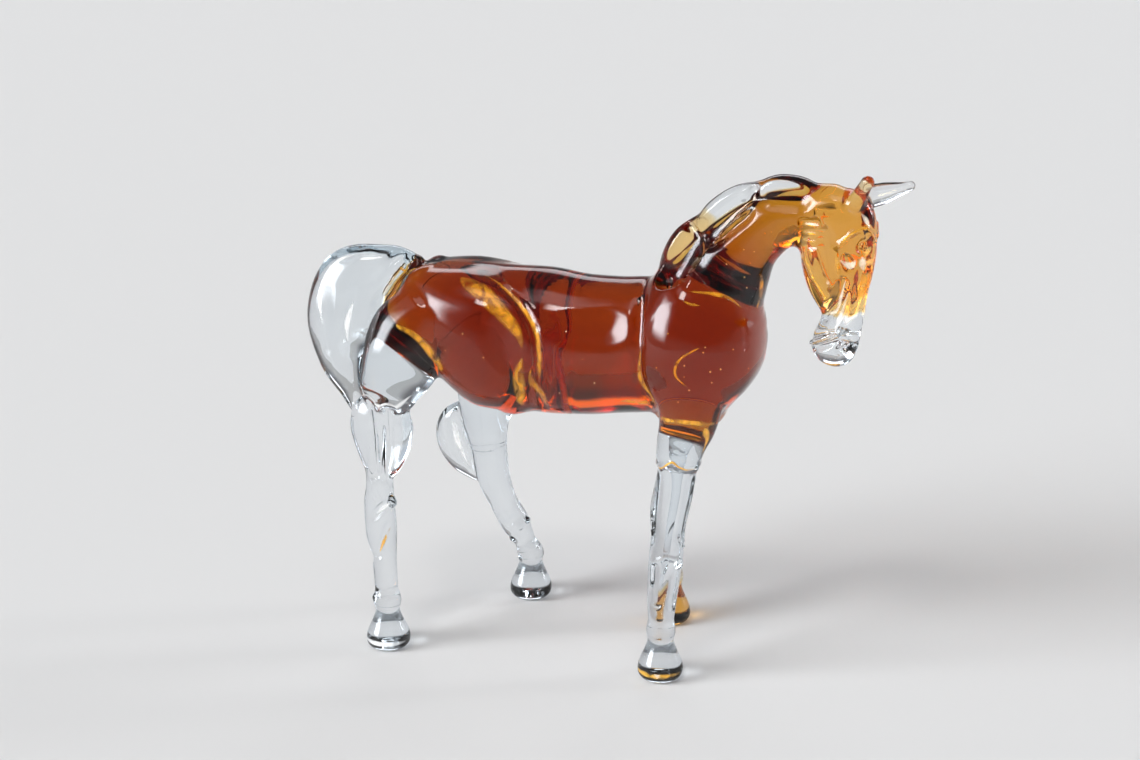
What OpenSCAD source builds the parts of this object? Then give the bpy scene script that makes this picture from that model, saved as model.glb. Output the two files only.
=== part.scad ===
// Standing horse figurine in flame-worked glass.
// Amber gathers make the trunk, neck and head, and clear gathers make the legs, muzzle and tail.
// Each gather is a separate solid that is melted onto its neighbours, so every joint is face to face.
// +X runs from tail to head, +Y is the horse's left side, +Z is up, and the hooves stand on Z = 0.

/* [Trunk] */
// Height of the back above the ground
back_z = 58.4; // [57:0.2:60]
// Height of the belly above the ground
belly_z = 36.2; // [35:0.2:37.5]
// Half of the barrel's width at its thickest
barrel_half_width = 9.6; // [9:0.2:10.4]
// Half of the chest's width at the shoulders
chest_half_width = 11.2; // [10.4:0.2:12]

/* [Stance] */
// Distance between the two fore hooves, centre to centre
fore_stance = 19.6; // [17:0.2:22]
// Distance between the two hind hooves, centre to centre
hind_stance = 24.4; // [22:0.2:27]
// How far the right fore hoof stands ahead of the left one
fore_stagger = 4; // [2:0.2:6]
// How far the left hind hoof stands ahead of the right one
hind_stagger = 14.6; // [13:0.2:16]

/* [Hooves] */
// Largest radius of a hoof
hoof_r = 3.45; // [3:0.05:3.8]
// Radius of the flat that a hoof stands on
hoof_flat_r = 2.3; // [1.8:0.1:2.6]
// Height of a hoof up to the pastern
hoof_height = 7; // [6:0.2:8]
// Radius of a hoof where the pastern is melted on
pastern_r = 1.85; // [1.6:0.05:2.1]

/* [Head] */
// Turn of the head towards the horse's right side
head_turn = 12; // [0:1:20]
// Height of the poll, the top of the skull
poll_z = 73.3; // [72:0.1:74.5]

/* [Mesh] */
// Sides of a gather's cross-section
sides = 20; // [16:2:24]
// Rings between two stations of a gather
steps = 3; // [2:1:3]

/* [Hidden] */

amber = "darkorange";
pale_amber = "gold";
clear = "lightcyan";

trunk_z = (back_z + belly_z) / 2;
trunk_r = (back_z - belly_z) / 2;

// Places of the hooves' centres on the ground
fore_right = [13.9, -fore_stance / 2];
fore_left = [13.9 - fore_stagger, fore_stance / 2];
hind_right = [-28.5, -hind_stance / 2];
hind_left = [-28.5 + hind_stagger, hind_stance / 2];
hoof_turns = 64;
hoof_profile_points = 12;

// Where the colour changes along the fore legs and along the right thigh
fore_joint_z = 40.1;
thigh_ball_place = [-43.6, -8, 33.2];
thigh_ball_r = 25;

// The head and its ears turn about this point of the poll
head_pivot = [33, 0];

// The origin is under the middle of the finished figure, so everything shifts by this much
origin_shift = [-0.762, 0];

// ---- Gathers: lofts along a curved line, with an oval section and rounded ends ----
// A station is [x, y, z, radius in the upright plane, radius across it].

function spline_at(a, b, c, d, t) =
    0.5 * (2 * b + (c - a) * t + (2 * a - 5 * b + 4 * c - d) * t * t
           + (3 * b - a - 3 * c + d) * t * t * t);

function fine_line(stations) =
    let (n = len(stations))
    [for (i = [0 : n - 2], k = [0 : steps - 1])
        spline_at(stations[max(i - 1, 0)], stations[i], stations[i + 1],
                  stations[min(i + 2, n - 1)], k / steps),
     stations[n - 1]];

function point(s) = [s[0], s[1], s[2]];
function unit(v) = v / norm(v);

function heading(line, i) =
    unit(point(line[min(i + 1, len(line) - 1)]) - point(line[max(i - 1, 0)]));

function power(c, n) = sign(c) * pow(abs(c), 2 / n);

// One ring: centre, radii and heading, squared off by the exponent n
function ring(centre, r_up, r_side, along, n) =
    let (across = [0, 1, 0],
         side = unit(across - (across * along) * along),
         up = cross(along, side))
    [for (k = [0 : sides - 1])
        let (a = 360 * k / sides)
        centre + r_up * power(cos(a), n) * up + r_side * power(sin(a), n) * side];

// The angles of a rounded end's rings, from its rim to just short of its tip
dome_angles = [30, 55, 74];

// A dome of 0 gives that end a flat cut; standing is true for a gather that ends upright on a hoof.
module gather(stations, dome = [1, 1], n = 2, standing = false) {
    line = fine_line(stations);
    last = len(line) - 1;
    start_way = heading(line, 0);
    end_way = standing ? [0, 0, -1] : heading(line, last);
    start_dome = [for (k = [len(dome_angles) - 1 : -1 : 0])
        if (dome[0] > 0)
            ring(point(line[0]) - start_way * dome[0] * sin(dome_angles[k]),
                 line[0][3] * cos(dome_angles[k]), line[0][4] * cos(dome_angles[k]),
                 start_way, n)];
    middle = [for (i = [0 : last])
        ring(point(line[i]), line[i][3], line[i][4], i == last ? end_way : heading(line, i), n)];
    end_dome = [for (a = dome_angles)
        if (dome[1] > 0)
            ring(point(line[last]) + end_way * dome[1] * sin(a),
                 line[last][3] * cos(a), line[last][4] * cos(a), end_way, n)];
    rings = concat(start_dome, middle, end_dome);
    tips = [point(line[0]) - start_way * dome[0], point(line[last]) + end_way * dome[1]];
    points = concat([for (r = rings, p = r) p], tips);
    count = len(rings);
    faces = concat(
        [for (i = [0 : count - 2], k = [0 : sides - 1])
            let (a = i * sides + k, b = i * sides + (k + 1) % sides)
            [a, b + sides, a + sides]],
        [for (i = [0 : count - 2], k = [0 : sides - 1])
            let (a = i * sides + k, b = i * sides + (k + 1) % sides)
            [a, b, b + sides]],
        [for (k = [0 : sides - 1]) [(k + 1) % sides, k, count * sides]],
        [for (k = [0 : sides - 1])
            [(count - 1) * sides + k, (count - 1) * sides + (k + 1) % sides, count * sides + 1]]);
    polyhedron(points, faces);
}

// Melts its first child onto the others: the first is cut back to their surfaces and kept as one mesh.
module melted_onto() {
    resize([0, 0, 0])
        difference() {
            children(0);
            children([1 : $children - 1]);
        }
}

module placed() {
    translate([origin_shift[0], origin_shift[1], 0]) children();
}

module head_turned() {
    translate([head_pivot[0], head_pivot[1], 0])
        rotate([0, 0, -head_turn])
            translate([-head_pivot[0], -head_pivot[1], 0]) children();
}

// Keeps the part of a fore leg above (way = 1) or below (way = -1) the change of colour
module fore_part(way) {
    intersection() {
        children();
        translate([0, 0, fore_joint_z + way * 25]) cube([80, 80, 50], center = true);
    }
}

// The right thigh is clear inside this ball and amber outside it
module clear_thigh_ball() {
    translate(thigh_ball_place) sphere(thigh_ball_r, $fn = 96);
}

// ---- Trunk ----

module barrel_gather() {
    w = barrel_half_width;
    gather([[-29.5, 0, trunk_z + 4.0, 5.7, 5.2],
            [-25.5, 0, trunk_z + 3.0, 7.9, 7.2],
            [-20, 0, trunk_z + 1.7, 9.4, 8.6],
            [-14, 0, trunk_z + 0.6, trunk_r - 0.6, w - 0.3],
            [-7, 0, trunk_z, trunk_r, w],
            [-1, 0, trunk_z - 0.1, trunk_r - 0.5, w],
            [5, 0, trunk_z + 0.4, trunk_r - 0.9, w - 0.2],
            [11, 0, trunk_z + 1.0, trunk_r - 1.1, w - 0.5],
            [15, 0, trunk_z + 1.2, trunk_r - 1.8, w - 1.0]],
           dome = [2.6, 2]);
}

module chest_gather() {
    w = chest_half_width;
    gather([[15.4, 0, 39.4, 5.4, w - 4.6],
            [15.6, 0, 42.8, 7.7, w - 1.6],
            [16.2, 0, 47.4, 9.5, w],
            [16.6, 0, 52.2, 9.5, w - 0.2],
            [17.6, 0, 56.2, 8.4, w - 2.0],
            [18.9, 0, 59.2, 6.3, w - 4.8]],
           dome = [3.4, 1.9], n = 2.3);
}

// The haunch is an oval gather that slants from the croup down to the flank.
module haunch_gather(side) {
    gather([[-25.8, side * 2.8, 54.4, 3.9, 4.0],
            [-21.8, side * 3.6, 52.0, 7.0, 6.0],
            [-16.6, side * 4.0, 49.0, 9.3, 7.2],
            [-11.4, side * 4.2, 46.1, 9.7, 7.4],
            [-8.0, side * 4.0, 43.8, 8.0, 6.6]],
           dome = [2.6, 4.8]);
}

module barrel() {
    color(amber) placed() melted_onto() {
        barrel_gather();
        chest_gather();
    }
}

// The chest runs on into the tops of both fore legs, down to where the clear glass begins.
module chest() {
    color(amber) placed() resize([0, 0, 0]) union() {
        chest_gather();
        fore_part(1) forearm_right_gather();
        fore_part(1) forearm_left_gather();
    }
}

// The right haunch runs on into the top of its thigh.
module haunch_right() {
    color(amber) placed() melted_onto() {
        union() {
            haunch_gather(-1);
            difference() {
                thigh_right_gather();
                clear_thigh_ball();
            }
        }
        barrel_gather();
    }
}

module haunch_left() {
    color(amber) placed() melted_onto() {
        haunch_gather(1);
        barrel_gather();
        haunch_gather(-1);
    }
}

// ---- Neck, head and mane ----

module neck_gather() {
    gather([[18.8, 0, 57, 6.6, 6.8],
            [20.5, 0, 61, 6.2, 6.0],
            [23.2, 0, 64.9, 5.0, 4.8],
            [27, 0, 67.9, 4.3, 4.1],
            [31.4, 0, 69.3, 4.0, 3.7],
            [35, 0, 69.4, 3.8, 3.2]],
           dome = [2, 1]);
}

module skull_gather() {
    top = poll_z - 2.4;
    head_turned()
        gather([[36, 0, top, 4.7, 3.2],
                [36.2, 0, top - 1.9, 5.35, 3.7],
                [36.2, 0, top - 5.2, 5.6, 4.0],
                [36.3, 0, top - 8.3, 5.4, 3.9],
                [36.6, 0, top - 11.2, 4.7, 3.5],
                [37.1, 0, top - 13.7, 3.7, 3.0],
                [37.3, 0, top - 14.7, 3.1, 2.7]],
               dome = [2.4, 0.8]);
}

module muzzle_gather() {
    top = poll_z - 2.4;
    head_turned()
        gather([[37.1, 0, top - 12.4, 3.3, 2.6],
                [37.5, 0, top - 15.1, 3.05, 2.45],
                [37.1, 0, top - 17.3, 3.2, 2.4],
                [36.5, 0, top - 19.3, 3.45, 2.55],
                [36.1, 0, top - 20.6, 3.3, 2.6]],
               dome = [1, 2.7]);
}

module ear_right_gather() {
    gather([[38.3, -2.6, 71.0, 1.4, 1.35],
            [39.2, -3.1, 73.0, 1.2, 1.2],
            [40.2, -3.7, 74.9, 0.95, 0.95]],
           dome = [1, 0.95]);
}

module ear_left_gather() {
    gather([[38.2, 0.8, 71.4, 1.5, 1.5],
            [41.2, 1.5, 72.3, 1.7, 1.3],
            [44.0, 2.0, 73.2, 1.05, 0.9],
            [45.3, 2.2, 73.6, 0.65, 0.6]],
           dome = [1, 0.6]);
}

// The three locks of the mane are flattened drops that overlap like shingles along the crest.
module mane_lower_gather() {
    gather([[11.2, -0.4, 58.6, 1.2, 1.5],
            [12.7, -0.5, 61.6, 2.0, 2.2],
            [14.6, -0.5, 64.6, 2.2, 2.1],
            [17.1, -0.3, 67.2, 1.5, 1.5]],
           dome = [1.2, 1.6]);
}

module mane_middle_gather() {
    gather([[16.2, -0.6, 65.2, 1.5, 1.6],
            [18.5, -0.6, 68.4, 1.9, 2.2],
            [21.6, -0.5, 70.9, 1.8, 2.1],
            [24.6, -0.3, 72.4, 1.1, 1.3]],
           dome = [1.2, 1.4]);
}

module mane_upper_gather() {
    gather([[24.4, -0.5, 71.8, 1.4, 1.6],
            [27.4, -0.6, 72.9, 1.8, 2.4],
            [30.4, -0.6, 72.9, 1.7, 2.3],
            [32.8, -0.4, 72.3, 1.1, 1.5]],
           dome = [1.2, 0.9]);
}

module neck() {
    color(amber) placed() melted_onto() {
        neck_gather();
        chest_gather();
        barrel_gather();
        skull_gather();
    }
}

module skull() {
    color(pale_amber) placed() skull_gather();
}

module muzzle() {
    color(clear) placed() melted_onto() {
        muzzle_gather();
        skull_gather();
    }
}

module ear_right() {
    color(pale_amber) placed() melted_onto() {
        ear_right_gather();
        skull_gather();
    }
}

module ear_left() {
    color(clear) placed() melted_onto() {
        ear_left_gather();
        skull_gather();
        ear_right_gather();
    }
}

module mane_lower() {
    color(pale_amber) placed() melted_onto() {
        mane_lower_gather();
        neck_gather();
        chest_gather();
        barrel_gather();
    }
}

module mane_middle() {
    color(clear) placed() melted_onto() {
        mane_middle_gather();
        neck_gather();
        mane_lower_gather();
    }
}

module mane_upper() {
    color(clear) placed() melted_onto() {
        mane_upper_gather();
        neck_gather();
        mane_middle_gather();
        skull_gather();
    }
}

// ---- Tail ----

module tail_gather() {
    gather([[-27.2, 0, 56.6, 2.2, 2.0],
            [-31, -0.4, 56.0, 4.2, 3.2],
            [-35.8, -1.4, 53.2, 7.0, 4.3],
            [-38.2, -2.8, 48.3, 6.3, 4.3],
            [-38.0, -4.6, 42.8, 3.8, 3.2],
            [-35.9, -6.4, 38.4, 1.8, 1.9],
            [-34.2, -7.6, 35.6, 0.9, 1.0]],
           dome = [1.4, 1]);
}

module tail() {
    color(clear) placed() melted_onto() {
        tail_gather();
        barrel_gather();
        haunch_gather(-1);
        haunch_gather(1);
        thigh_right_gather();
        gaskin_right_gather();
        hind_shank_right_gather();
    }
}

// ---- Hind legs ----

module thigh_right_gather() {
    gather([[-22.8, -5.6, 51.5, 5.6, 4.6],
            [-26.2, -6.8, 47.4, 6.5, 5.4],
            [-27.9, -7.8, 43, 6.0, 5.2],
            [-28.9, -8.6, 39.6, 4.5, 4.2]],
           dome = [2, 3.4]);
}

module thigh_left_gather() {
    gather([[-17.4, 6.0, 45.5, 5.4, 4.4],
            [-18.5, 7.0, 40.4, 5.1, 4.5],
            [-19.4, 7.8, 35.2, 4.8, 4.1],
            [-19.9, 8.6, 30.6, 3.9, 3.4],
            [-19.8, 9.2, 26.8, 3.0, 2.8]],
           dome = [2, 2]);
}

// The gaskin is a flat drop behind the leg, and gives the leg its calf.
module gaskin_right_gather() {
    gather([[-29.4, -8.2, 38.0, 3.8, 2.0],
            [-30, -8.6, 35.2, 5.1, 2.4],
            [-29.9, -9.0, 31.8, 4.8, 2.4],
            [-30.1, -9.4, 28.6, 3.5, 2.1],
            [-30.6, -9.7, 26.0, 2.0, 1.6]],
           dome = [1, 1.6]);
}

module gaskin_left_gather() {
    gather([[-23.6, 8.4, 32.2, 1.5, 1.4],
            [-25.2, 8.7, 29.8, 2.6, 2.1],
            [-25.5, 9.0, 26.7, 3.0, 2.3],
            [-24.0, 9.5, 23.2, 2.5, 2.0],
            [-22.0, 9.9, 20.6, 1.2, 1.2]],
           dome = [1, 0.8]);
}

module hind_shank_right_gather() {
    foot = hind_right;
    gather([[-29.6, -8.6, 39.0, 2.1, 2.2],
            [-29.8, -9.2, 33.0, 2.0, 2.2],
            [-30.2, -9.7, 27.2, 2.1, 2.2],
            [-30.3, -10.1, 22.8, 2.45, 2.4],
            [-29.9, -10.5, 17.8, 2.5, 2.4],
            [-29.2, -11.2, 13.0, 1.95, 1.95],
            [foot[0], foot[1], hoof_height, pastern_r, pastern_r]],
           dome = [1, 0], standing = true);
}

module hind_shank_left_gather() {
    foot = hind_left;
    gather([[-19.7, 9.1, 27.4, 2.9, 2.7],
            [-19.3, 9.8, 21.0, 2.7, 2.5],
            [-17.9, 10.5, 16.4, 2.35, 2.2],
            [-16.2, 11.2, 12.8, 2.55, 2.3],
            [-14.8, 11.8, 9.6, 1.9, 1.9],
            [foot[0], foot[1], hoof_height, pastern_r, pastern_r]],
           dome = [1, 0], standing = true);
}

module thigh_right() {
    color(clear) placed() melted_onto() {
        intersection() {
            thigh_right_gather();
            clear_thigh_ball();
        }
        barrel_gather();
        haunch_gather(-1);
    }
}

module thigh_left() {
    color(clear) placed() melted_onto() {
        thigh_left_gather();
        barrel_gather();
        haunch_gather(1);
    }
}

module gaskin_right() {
    color(clear) placed() melted_onto() {
        gaskin_right_gather();
        thigh_right_gather();
        hind_shank_right_gather();
    }
}

module gaskin_left() {
    color(clear) placed() melted_onto() {
        gaskin_left_gather();
        thigh_left_gather();
        hind_shank_left_gather();
        haunch_gather(1);
        barrel_gather();
    }
}

module hind_shank_right() {
    color(clear) placed() melted_onto() {
        hind_shank_right_gather();
        thigh_right_gather();
    }
}

module hind_shank_left() {
    color(clear) placed() melted_onto() {
        hind_shank_left_gather();
        thigh_left_gather();
    }
}

// ---- Fore legs ----

module forearm_right_gather() {
    gather([[17.0, -5.6, 46.0, 5.2, 4.4],
            [16.9, -6.2, 42.5, 4.9, 4.3],
            [16.6, -6.7, 39.0, 4.3, 4.0],
            [15.8, -7.1, 35.8, 3.6, 3.5],
            [15.3, -7.4, 32.6, 3.15, 3.1]],
           dome = [1, 0.6]);
}

module forearm_left_gather() {
    gather([[16.0, 5.6, 46.0, 5.2, 4.4],
            [15.8, 6.2, 42.5, 4.9, 4.3],
            [15.1, 6.7, 39.0, 4.3, 4.0],
            [13.8, 7.1, 35.8, 3.6, 3.5],
            [12.8, 7.5, 32.6, 3.15, 3.1]],
           dome = [1, 0.6]);
}

module fore_shank_right_gather() {
    foot = fore_right;
    gather([[15.4, -7.4, 34, 3.05, 3.0],
            [15.2, -7.8, 28.6, 2.75, 2.75],
            [14.6, -8.2, 23.6, 2.5, 2.5],
            [14.2, -8.6, 18.6, 2.6, 2.6],
            [13.9, -9.2, 12.8, 2.3, 2.3],
            [foot[0], foot[1], hoof_height, pastern_r, pastern_r]],
           dome = [1, 0], standing = true);
}

module fore_shank_left_gather() {
    foot = fore_left;
    gather([[13.2, 7.4, 34, 3.05, 3.0],
            [11.6, 7.8, 28.6, 2.75, 2.75],
            [10.3, 8.4, 23.6, 2.5, 2.5],
            [9.5, 8.9, 18.6, 2.7, 2.6],
            [9.5, 9.4, 12.8, 2.3, 2.3],
            [foot[0], foot[1], hoof_height, pastern_r, pastern_r]],
           dome = [1, 0], standing = true);
}

module forearm_right() {
    color(clear) placed() melted_onto() {
        fore_part(-1) forearm_right_gather();
        chest_gather();
    }
}

module forearm_left() {
    color(clear) placed() melted_onto() {
        fore_part(-1) forearm_left_gather();
        chest_gather();
    }
}

module fore_shank_right() {
    color(clear) placed() melted_onto() {
        fore_shank_right_gather();
        forearm_right_gather();
    }
}

module fore_shank_left() {
    color(clear) placed() melted_onto() {
        fore_shank_left_gather();
        forearm_left_gather();
    }
}

// ---- Hooves: bells turned about an upright axis, with a flat to stand on ----

hoof_widest_z = 1.7;

// The bell's side from its widest ring up to the pastern, as a cosine blend
function bell_side() = [for (k = [0 : hoof_profile_points])
    let (t = k / hoof_profile_points)
    [pastern_r + (hoof_r - pastern_r) * (1 + cos(180 * pow(t, 0.85))) / 2,
     hoof_widest_z + (hoof_height - hoof_widest_z) * t]];

// The rounded edge between the flat and the widest ring
function bell_edge() = [for (k = [0 : 5])
    let (a = 90 * k / 6)
    [hoof_flat_r + (hoof_r - hoof_flat_r) * sin(a), hoof_widest_z * (1 - cos(a))]];

module hoof_gather(place) {
    translate([place[0], place[1], 0])
        rotate_extrude($fn = hoof_turns)
            polygon(concat([[0, 0]], bell_edge(), bell_side(), [[0, hoof_height]]));
}

module fore_hoof_right() {
    color(clear) placed() hoof_gather(fore_right);
}

module fore_hoof_left() {
    color(pale_amber) placed() hoof_gather(fore_left);
}

module hind_hoof_right() {
    color(clear) placed() hoof_gather(hind_right);
}

module hind_hoof_left() {
    color(clear) placed() hoof_gather(hind_left);
}

barrel();
chest();
haunch_right();
haunch_left();
neck();
skull();
muzzle();
ear_right();
ear_left();
mane_lower();
mane_middle();
mane_upper();
tail();
thigh_right();
thigh_left();
gaskin_right();
gaskin_left();
hind_shank_right();
hind_shank_left();
hind_hoof_right();
hind_hoof_left();
forearm_right();
forearm_left();
fore_shank_right();
fore_shank_left();
fore_hoof_right();
fore_hoof_left();
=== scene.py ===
"""Looks of a standing horse in flame-worked glass, on a plain pale studio floor.

Every gather of glass is lofted along its own line of stations. The gathers are melted together in a
block of voxels, which gives one continuous fire-polished skin with small fillets at the joints. That
skin is then parted again along the joints, so that each gather is a closed piece of its own glass.
Lengths are in millimetres until a mesh is made, which is in metres.
"""

import logging
import math
from collections.abc import Callable, Sequence
from dataclasses import dataclass, field, replace
from enum import Enum

import bmesh
import bpy
import numpy as np
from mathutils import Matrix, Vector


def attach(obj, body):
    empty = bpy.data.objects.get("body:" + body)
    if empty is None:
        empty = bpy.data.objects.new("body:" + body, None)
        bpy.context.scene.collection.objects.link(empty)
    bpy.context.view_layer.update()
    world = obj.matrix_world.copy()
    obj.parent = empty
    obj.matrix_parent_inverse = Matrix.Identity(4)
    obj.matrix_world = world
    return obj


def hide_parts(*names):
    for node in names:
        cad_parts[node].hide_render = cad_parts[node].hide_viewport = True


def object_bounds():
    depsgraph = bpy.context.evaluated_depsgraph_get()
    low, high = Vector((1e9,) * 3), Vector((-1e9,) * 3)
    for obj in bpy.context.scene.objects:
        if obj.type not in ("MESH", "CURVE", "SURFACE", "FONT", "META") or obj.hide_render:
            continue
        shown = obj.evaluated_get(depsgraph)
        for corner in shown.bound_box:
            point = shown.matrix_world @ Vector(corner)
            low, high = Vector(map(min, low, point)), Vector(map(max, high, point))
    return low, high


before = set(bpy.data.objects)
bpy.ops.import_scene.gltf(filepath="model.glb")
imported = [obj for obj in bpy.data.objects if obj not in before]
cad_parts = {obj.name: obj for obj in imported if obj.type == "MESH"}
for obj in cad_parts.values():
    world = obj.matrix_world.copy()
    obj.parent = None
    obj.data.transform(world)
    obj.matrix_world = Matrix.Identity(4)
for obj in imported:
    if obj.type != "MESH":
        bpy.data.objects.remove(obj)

import openvdb as vdb
from mathutils import Matrix, Vector

CAD_BOX = [list(corner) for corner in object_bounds()]

MM = 0.001
ORIGIN_SHIFT = np.array([-0.762, 0.0, 0.0])
HEAD_PIVOT = np.array([33.0, 0.0, 0.0])
HEAD_TURN = math.radians(12.0)

VOXEL = 0.28
BAND_VOXELS = 5.0
BAND = VOXEL * BAND_VOXELS
JOINT_OVERLAP = 0.03
BOX_INSET = 0.03
JOINT_MASK = "joint"
FADE_MASK = "fade"

DOME_ANGLES = (12.0, 26.0, 40.0, 54.0, 67.0, 79.0)
RIPPLE_SEED = 11
SPECK_SIZE = 0.8
DENSITY_MARGIN = 1.05
FLOOR_SIDES = 96
FLOOR_GAP = 0.02
EXPOSURE = -0.05
GLASS_BOUNCES = 24
JOINT_BOUNCES = 32

Place = tuple[float, float, float]
Colour = tuple[float, float, float, float]
Given = float | Colour | Vector | bpy.types.NodeSocket

logging.basicConfig(level=logging.INFO, format="%(message)s")
log = logging.getLogger("glass_horse")


class Side(Enum):
    """Which side of the horse a piece is on."""

    RIGHT = -1
    LEFT = 1

    @property
    def word(self) -> str:
        """The side's name as the pieces use it."""
        return self.name.lower()


class Touch(Enum):
    """What a tool does to the hot glass."""

    PRESS = "press"
    ADD = "add"


class Glass(Enum):
    """The glasses that the figure is made of, by the record's material slot."""

    AMBER = "amber_glass"
    PALE_AMBER = "pale_amber_glass"
    CLEAR = "clear_glass"


def to_row(points: np.ndarray, turned: bool = False) -> np.ndarray:
    """Moves points from the drawing's place to the part's frame.

    Args:
        points: (n, 3) points in millimetres.
        turned: True for what turns with the head.

    Returns:
        The moved points.
    """
    moved = np.array(points, dtype=float).reshape(-1, 3)
    if turned:
        c, s = math.cos(-HEAD_TURN), math.sin(-HEAD_TURN)
        spin = np.array([[c, -s, 0.0], [s, c, 0.0], [0.0, 0.0, 1.0]])
        moved = (moved - HEAD_PIVOT) @ spin.T + HEAD_PIVOT
    return moved + ORIGIN_SHIFT


def unit(v: np.ndarray) -> np.ndarray:
    """Scales vectors to length one."""
    return v / np.maximum(np.linalg.norm(v, axis=-1, keepdims=True), 1e-12)


def curve_through(rows: np.ndarray, steps: int) -> np.ndarray:
    """A smooth curve through rows of numbers.

    Args:
        rows: (n, k) rows that it passes through.
        steps: How many points it has for each stretch.

    Returns:
        (m, k) rows along the curve.
    """
    line = []
    for i in range(len(rows) - 1):
        a, b, c, d = rows[max(i - 1, 0)], rows[i], rows[i + 1], rows[min(i + 2, len(rows) - 1)]
        for k in range(steps):
            t = k / steps
            bend = (2 * a - 5 * b + 4 * c - d) * t * t + (3 * b - a - 3 * c + d) * t**3
            line.append(0.5 * (2 * b + (c - a) * t + bend))
    return np.array([*line, rows[-1]])


# ---- Voxels ----


def level_set(points: np.ndarray, triangles: np.ndarray) -> tuple[np.ndarray, np.ndarray]:
    """Distance to a closed surface in a box of voxels just around it.

    Args:
        points: (n, 3) vertices in millimetres, in the part's frame.
        triangles: (m, 3) vertex numbers.

    Returns:
        The box's lowest voxel, and the signed distances, negative inside and held to the band.
    """
    grid = vdb.FloatGrid.createLevelSetFromPolygons(
        points.astype(np.float32),
        triangles=triangles.astype(np.uint32),
        transform=vdb.createLinearTransform(VOXEL),
        halfWidth=BAND_VOXELS,
    )
    margin = int(BAND_VOXELS) + 2
    low = np.floor(points.min(axis=0) / VOXEL).astype(int) - margin
    high = np.ceil(points.max(axis=0) / VOXEL).astype(int) + margin
    values = np.full(tuple(high - low + 1), BAND, dtype=np.float32)
    grid.copyToArray(values, ijk=tuple(int(i) for i in low))
    return low, values


def melt(a: np.ndarray, b: np.ndarray, fillet: float) -> np.ndarray:
    """Union of two distance fields with a rounded inner corner.

    Args:
        a: One field.
        b: The other field.
        fillet: How far from the crease the two run into each other.

    Returns:
        The melted field.
    """
    if fillet <= 0:
        return np.minimum(a, b)
    near = np.maximum(fillet - np.abs(a - b), 0.0) / fillet
    return np.minimum(a, b) - near * near * fillet * 0.25


class VoxelBlock:
    """The block of voxels that holds the whole figure as a distance field."""

    def __init__(self, low: np.ndarray, high: np.ndarray) -> None:
        """Makes an empty block.

        Args:
            low: Its lowest voxel.
            high: Its highest voxel.
        """
        self.low = low
        self.values = np.full(tuple(high - low + 1), BAND, dtype=np.float32)

    def window(self, low: np.ndarray, shape: tuple[int, ...]) -> tuple[slice, ...]:
        """The part of the block that a smaller box covers."""
        start = low - self.low
        return tuple(slice(int(s), int(s) + n) for s, n in zip(start, shape))

    def axes_at(self, low: np.ndarray, shape: tuple[int, ...]) -> list[np.ndarray]:
        """The X, Y and Z of a box's voxels in millimetres, shaped to combine with each other."""
        axes = []
        for i in range(3):
            line = ((low[i] + np.arange(shape[i])) * VOXEL).astype(np.float32)
            axes.append(line.reshape([-1 if j == i else 1 for j in range(3)]))
        return axes

    def soften(self) -> None:
        """Rounds the field a little, as surface tension does to hot glass."""
        for axis in range(3):
            v = self.values
            line = [slice(None)] * 3
            mid, back, ahead = list(line), list(line), list(line)
            mid[axis], back[axis], ahead[axis] = slice(1, -1), slice(0, -2), slice(2, None)
            out = v.copy()
            out[tuple(mid)] = 0.68 * v[tuple(mid)] + 0.16 * (v[tuple(back)] + v[tuple(ahead)])
            self.values = out

    def ripple(self, depth: float, spacing: float, floor_z: float) -> None:
        """Lets the skin sink unevenly by up to a depth, as worked glass does.

        Args:
            depth: The most that the skin sinks, in millimetres.
            spacing: The distance between the ripple's control points.
            floor_z: The height below which the skin stays true.
        """
        rng = np.random.default_rng(RIPPLE_SEED)
        weights = []
        for size in self.values.shape:
            count = int(size * VOXEL / spacing) + 4
            place = np.arange(size) * VOXEL / spacing + 1.0
            away = np.abs(place[:, None] - np.arange(count)[None, :])
            near = 2 / 3 - away**2 + away**3 / 2
            far = np.maximum(2 - away, 0) ** 3 / 6
            weights.append(np.where(away < 1, near, far).astype(np.float32))
        sink = rng.random([w.shape[1] for w in weights], dtype=np.float32) * 2 - 1
        for axis, weight in enumerate(weights):
            sink = np.moveaxis(np.tensordot(weight, sink, axes=(1, axis)), 0, axis)
        z = self.axes_at(self.low, self.values.shape)[2]
        fade = np.clip((z - floor_z) / floor_z, 0.0, 1.0)
        self.values += depth * np.clip(0.5 + sink, 0.0, 1.0) * fade

    def sample(self, points: np.ndarray) -> np.ndarray:
        """The field at points, by linear interpolation.

        Args:
            points: (n, 3) points in millimetres.

        Returns:
            (n,) values.
        """
        place = points / VOXEL - self.low
        base = np.clip(np.floor(place).astype(int), 0, np.array(self.values.shape) - 2)
        t = np.clip(place - base, 0.0, 1.0)
        total = np.zeros(len(points))
        for corner in range(8):
            d = np.array([corner & 1, corner >> 1 & 1, corner >> 2 & 1])
            w = np.prod(np.where(d == 1, t, 1.0 - t), axis=1)
            i = base + d
            total += w * self.values[i[:, 0], i[:, 1], i[:, 2]]
        return total

    def slope(self, points: np.ndarray) -> np.ndarray:
        """The field's gradient at points, which is the skin's normal."""
        step = 0.6 * VOXEL
        out = np.empty((len(points), 3))
        for axis in range(3):
            d = np.zeros(3)
            d[axis] = step
            out[:, axis] = (self.sample(points + d) - self.sample(points - d)) / (2 * step)
        return out

    def settle(self, points: np.ndarray, rounds: int = 3) -> np.ndarray:
        """Moves points that are near the skin exactly onto it."""
        for _ in range(rounds):
            g = self.slope(points)
            size = np.maximum((g * g).sum(axis=1), 0.05)
            step = self.sample(points) / size
            points = points - np.clip(step, -VOXEL, VOXEL)[:, None] * g
        return points


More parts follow.
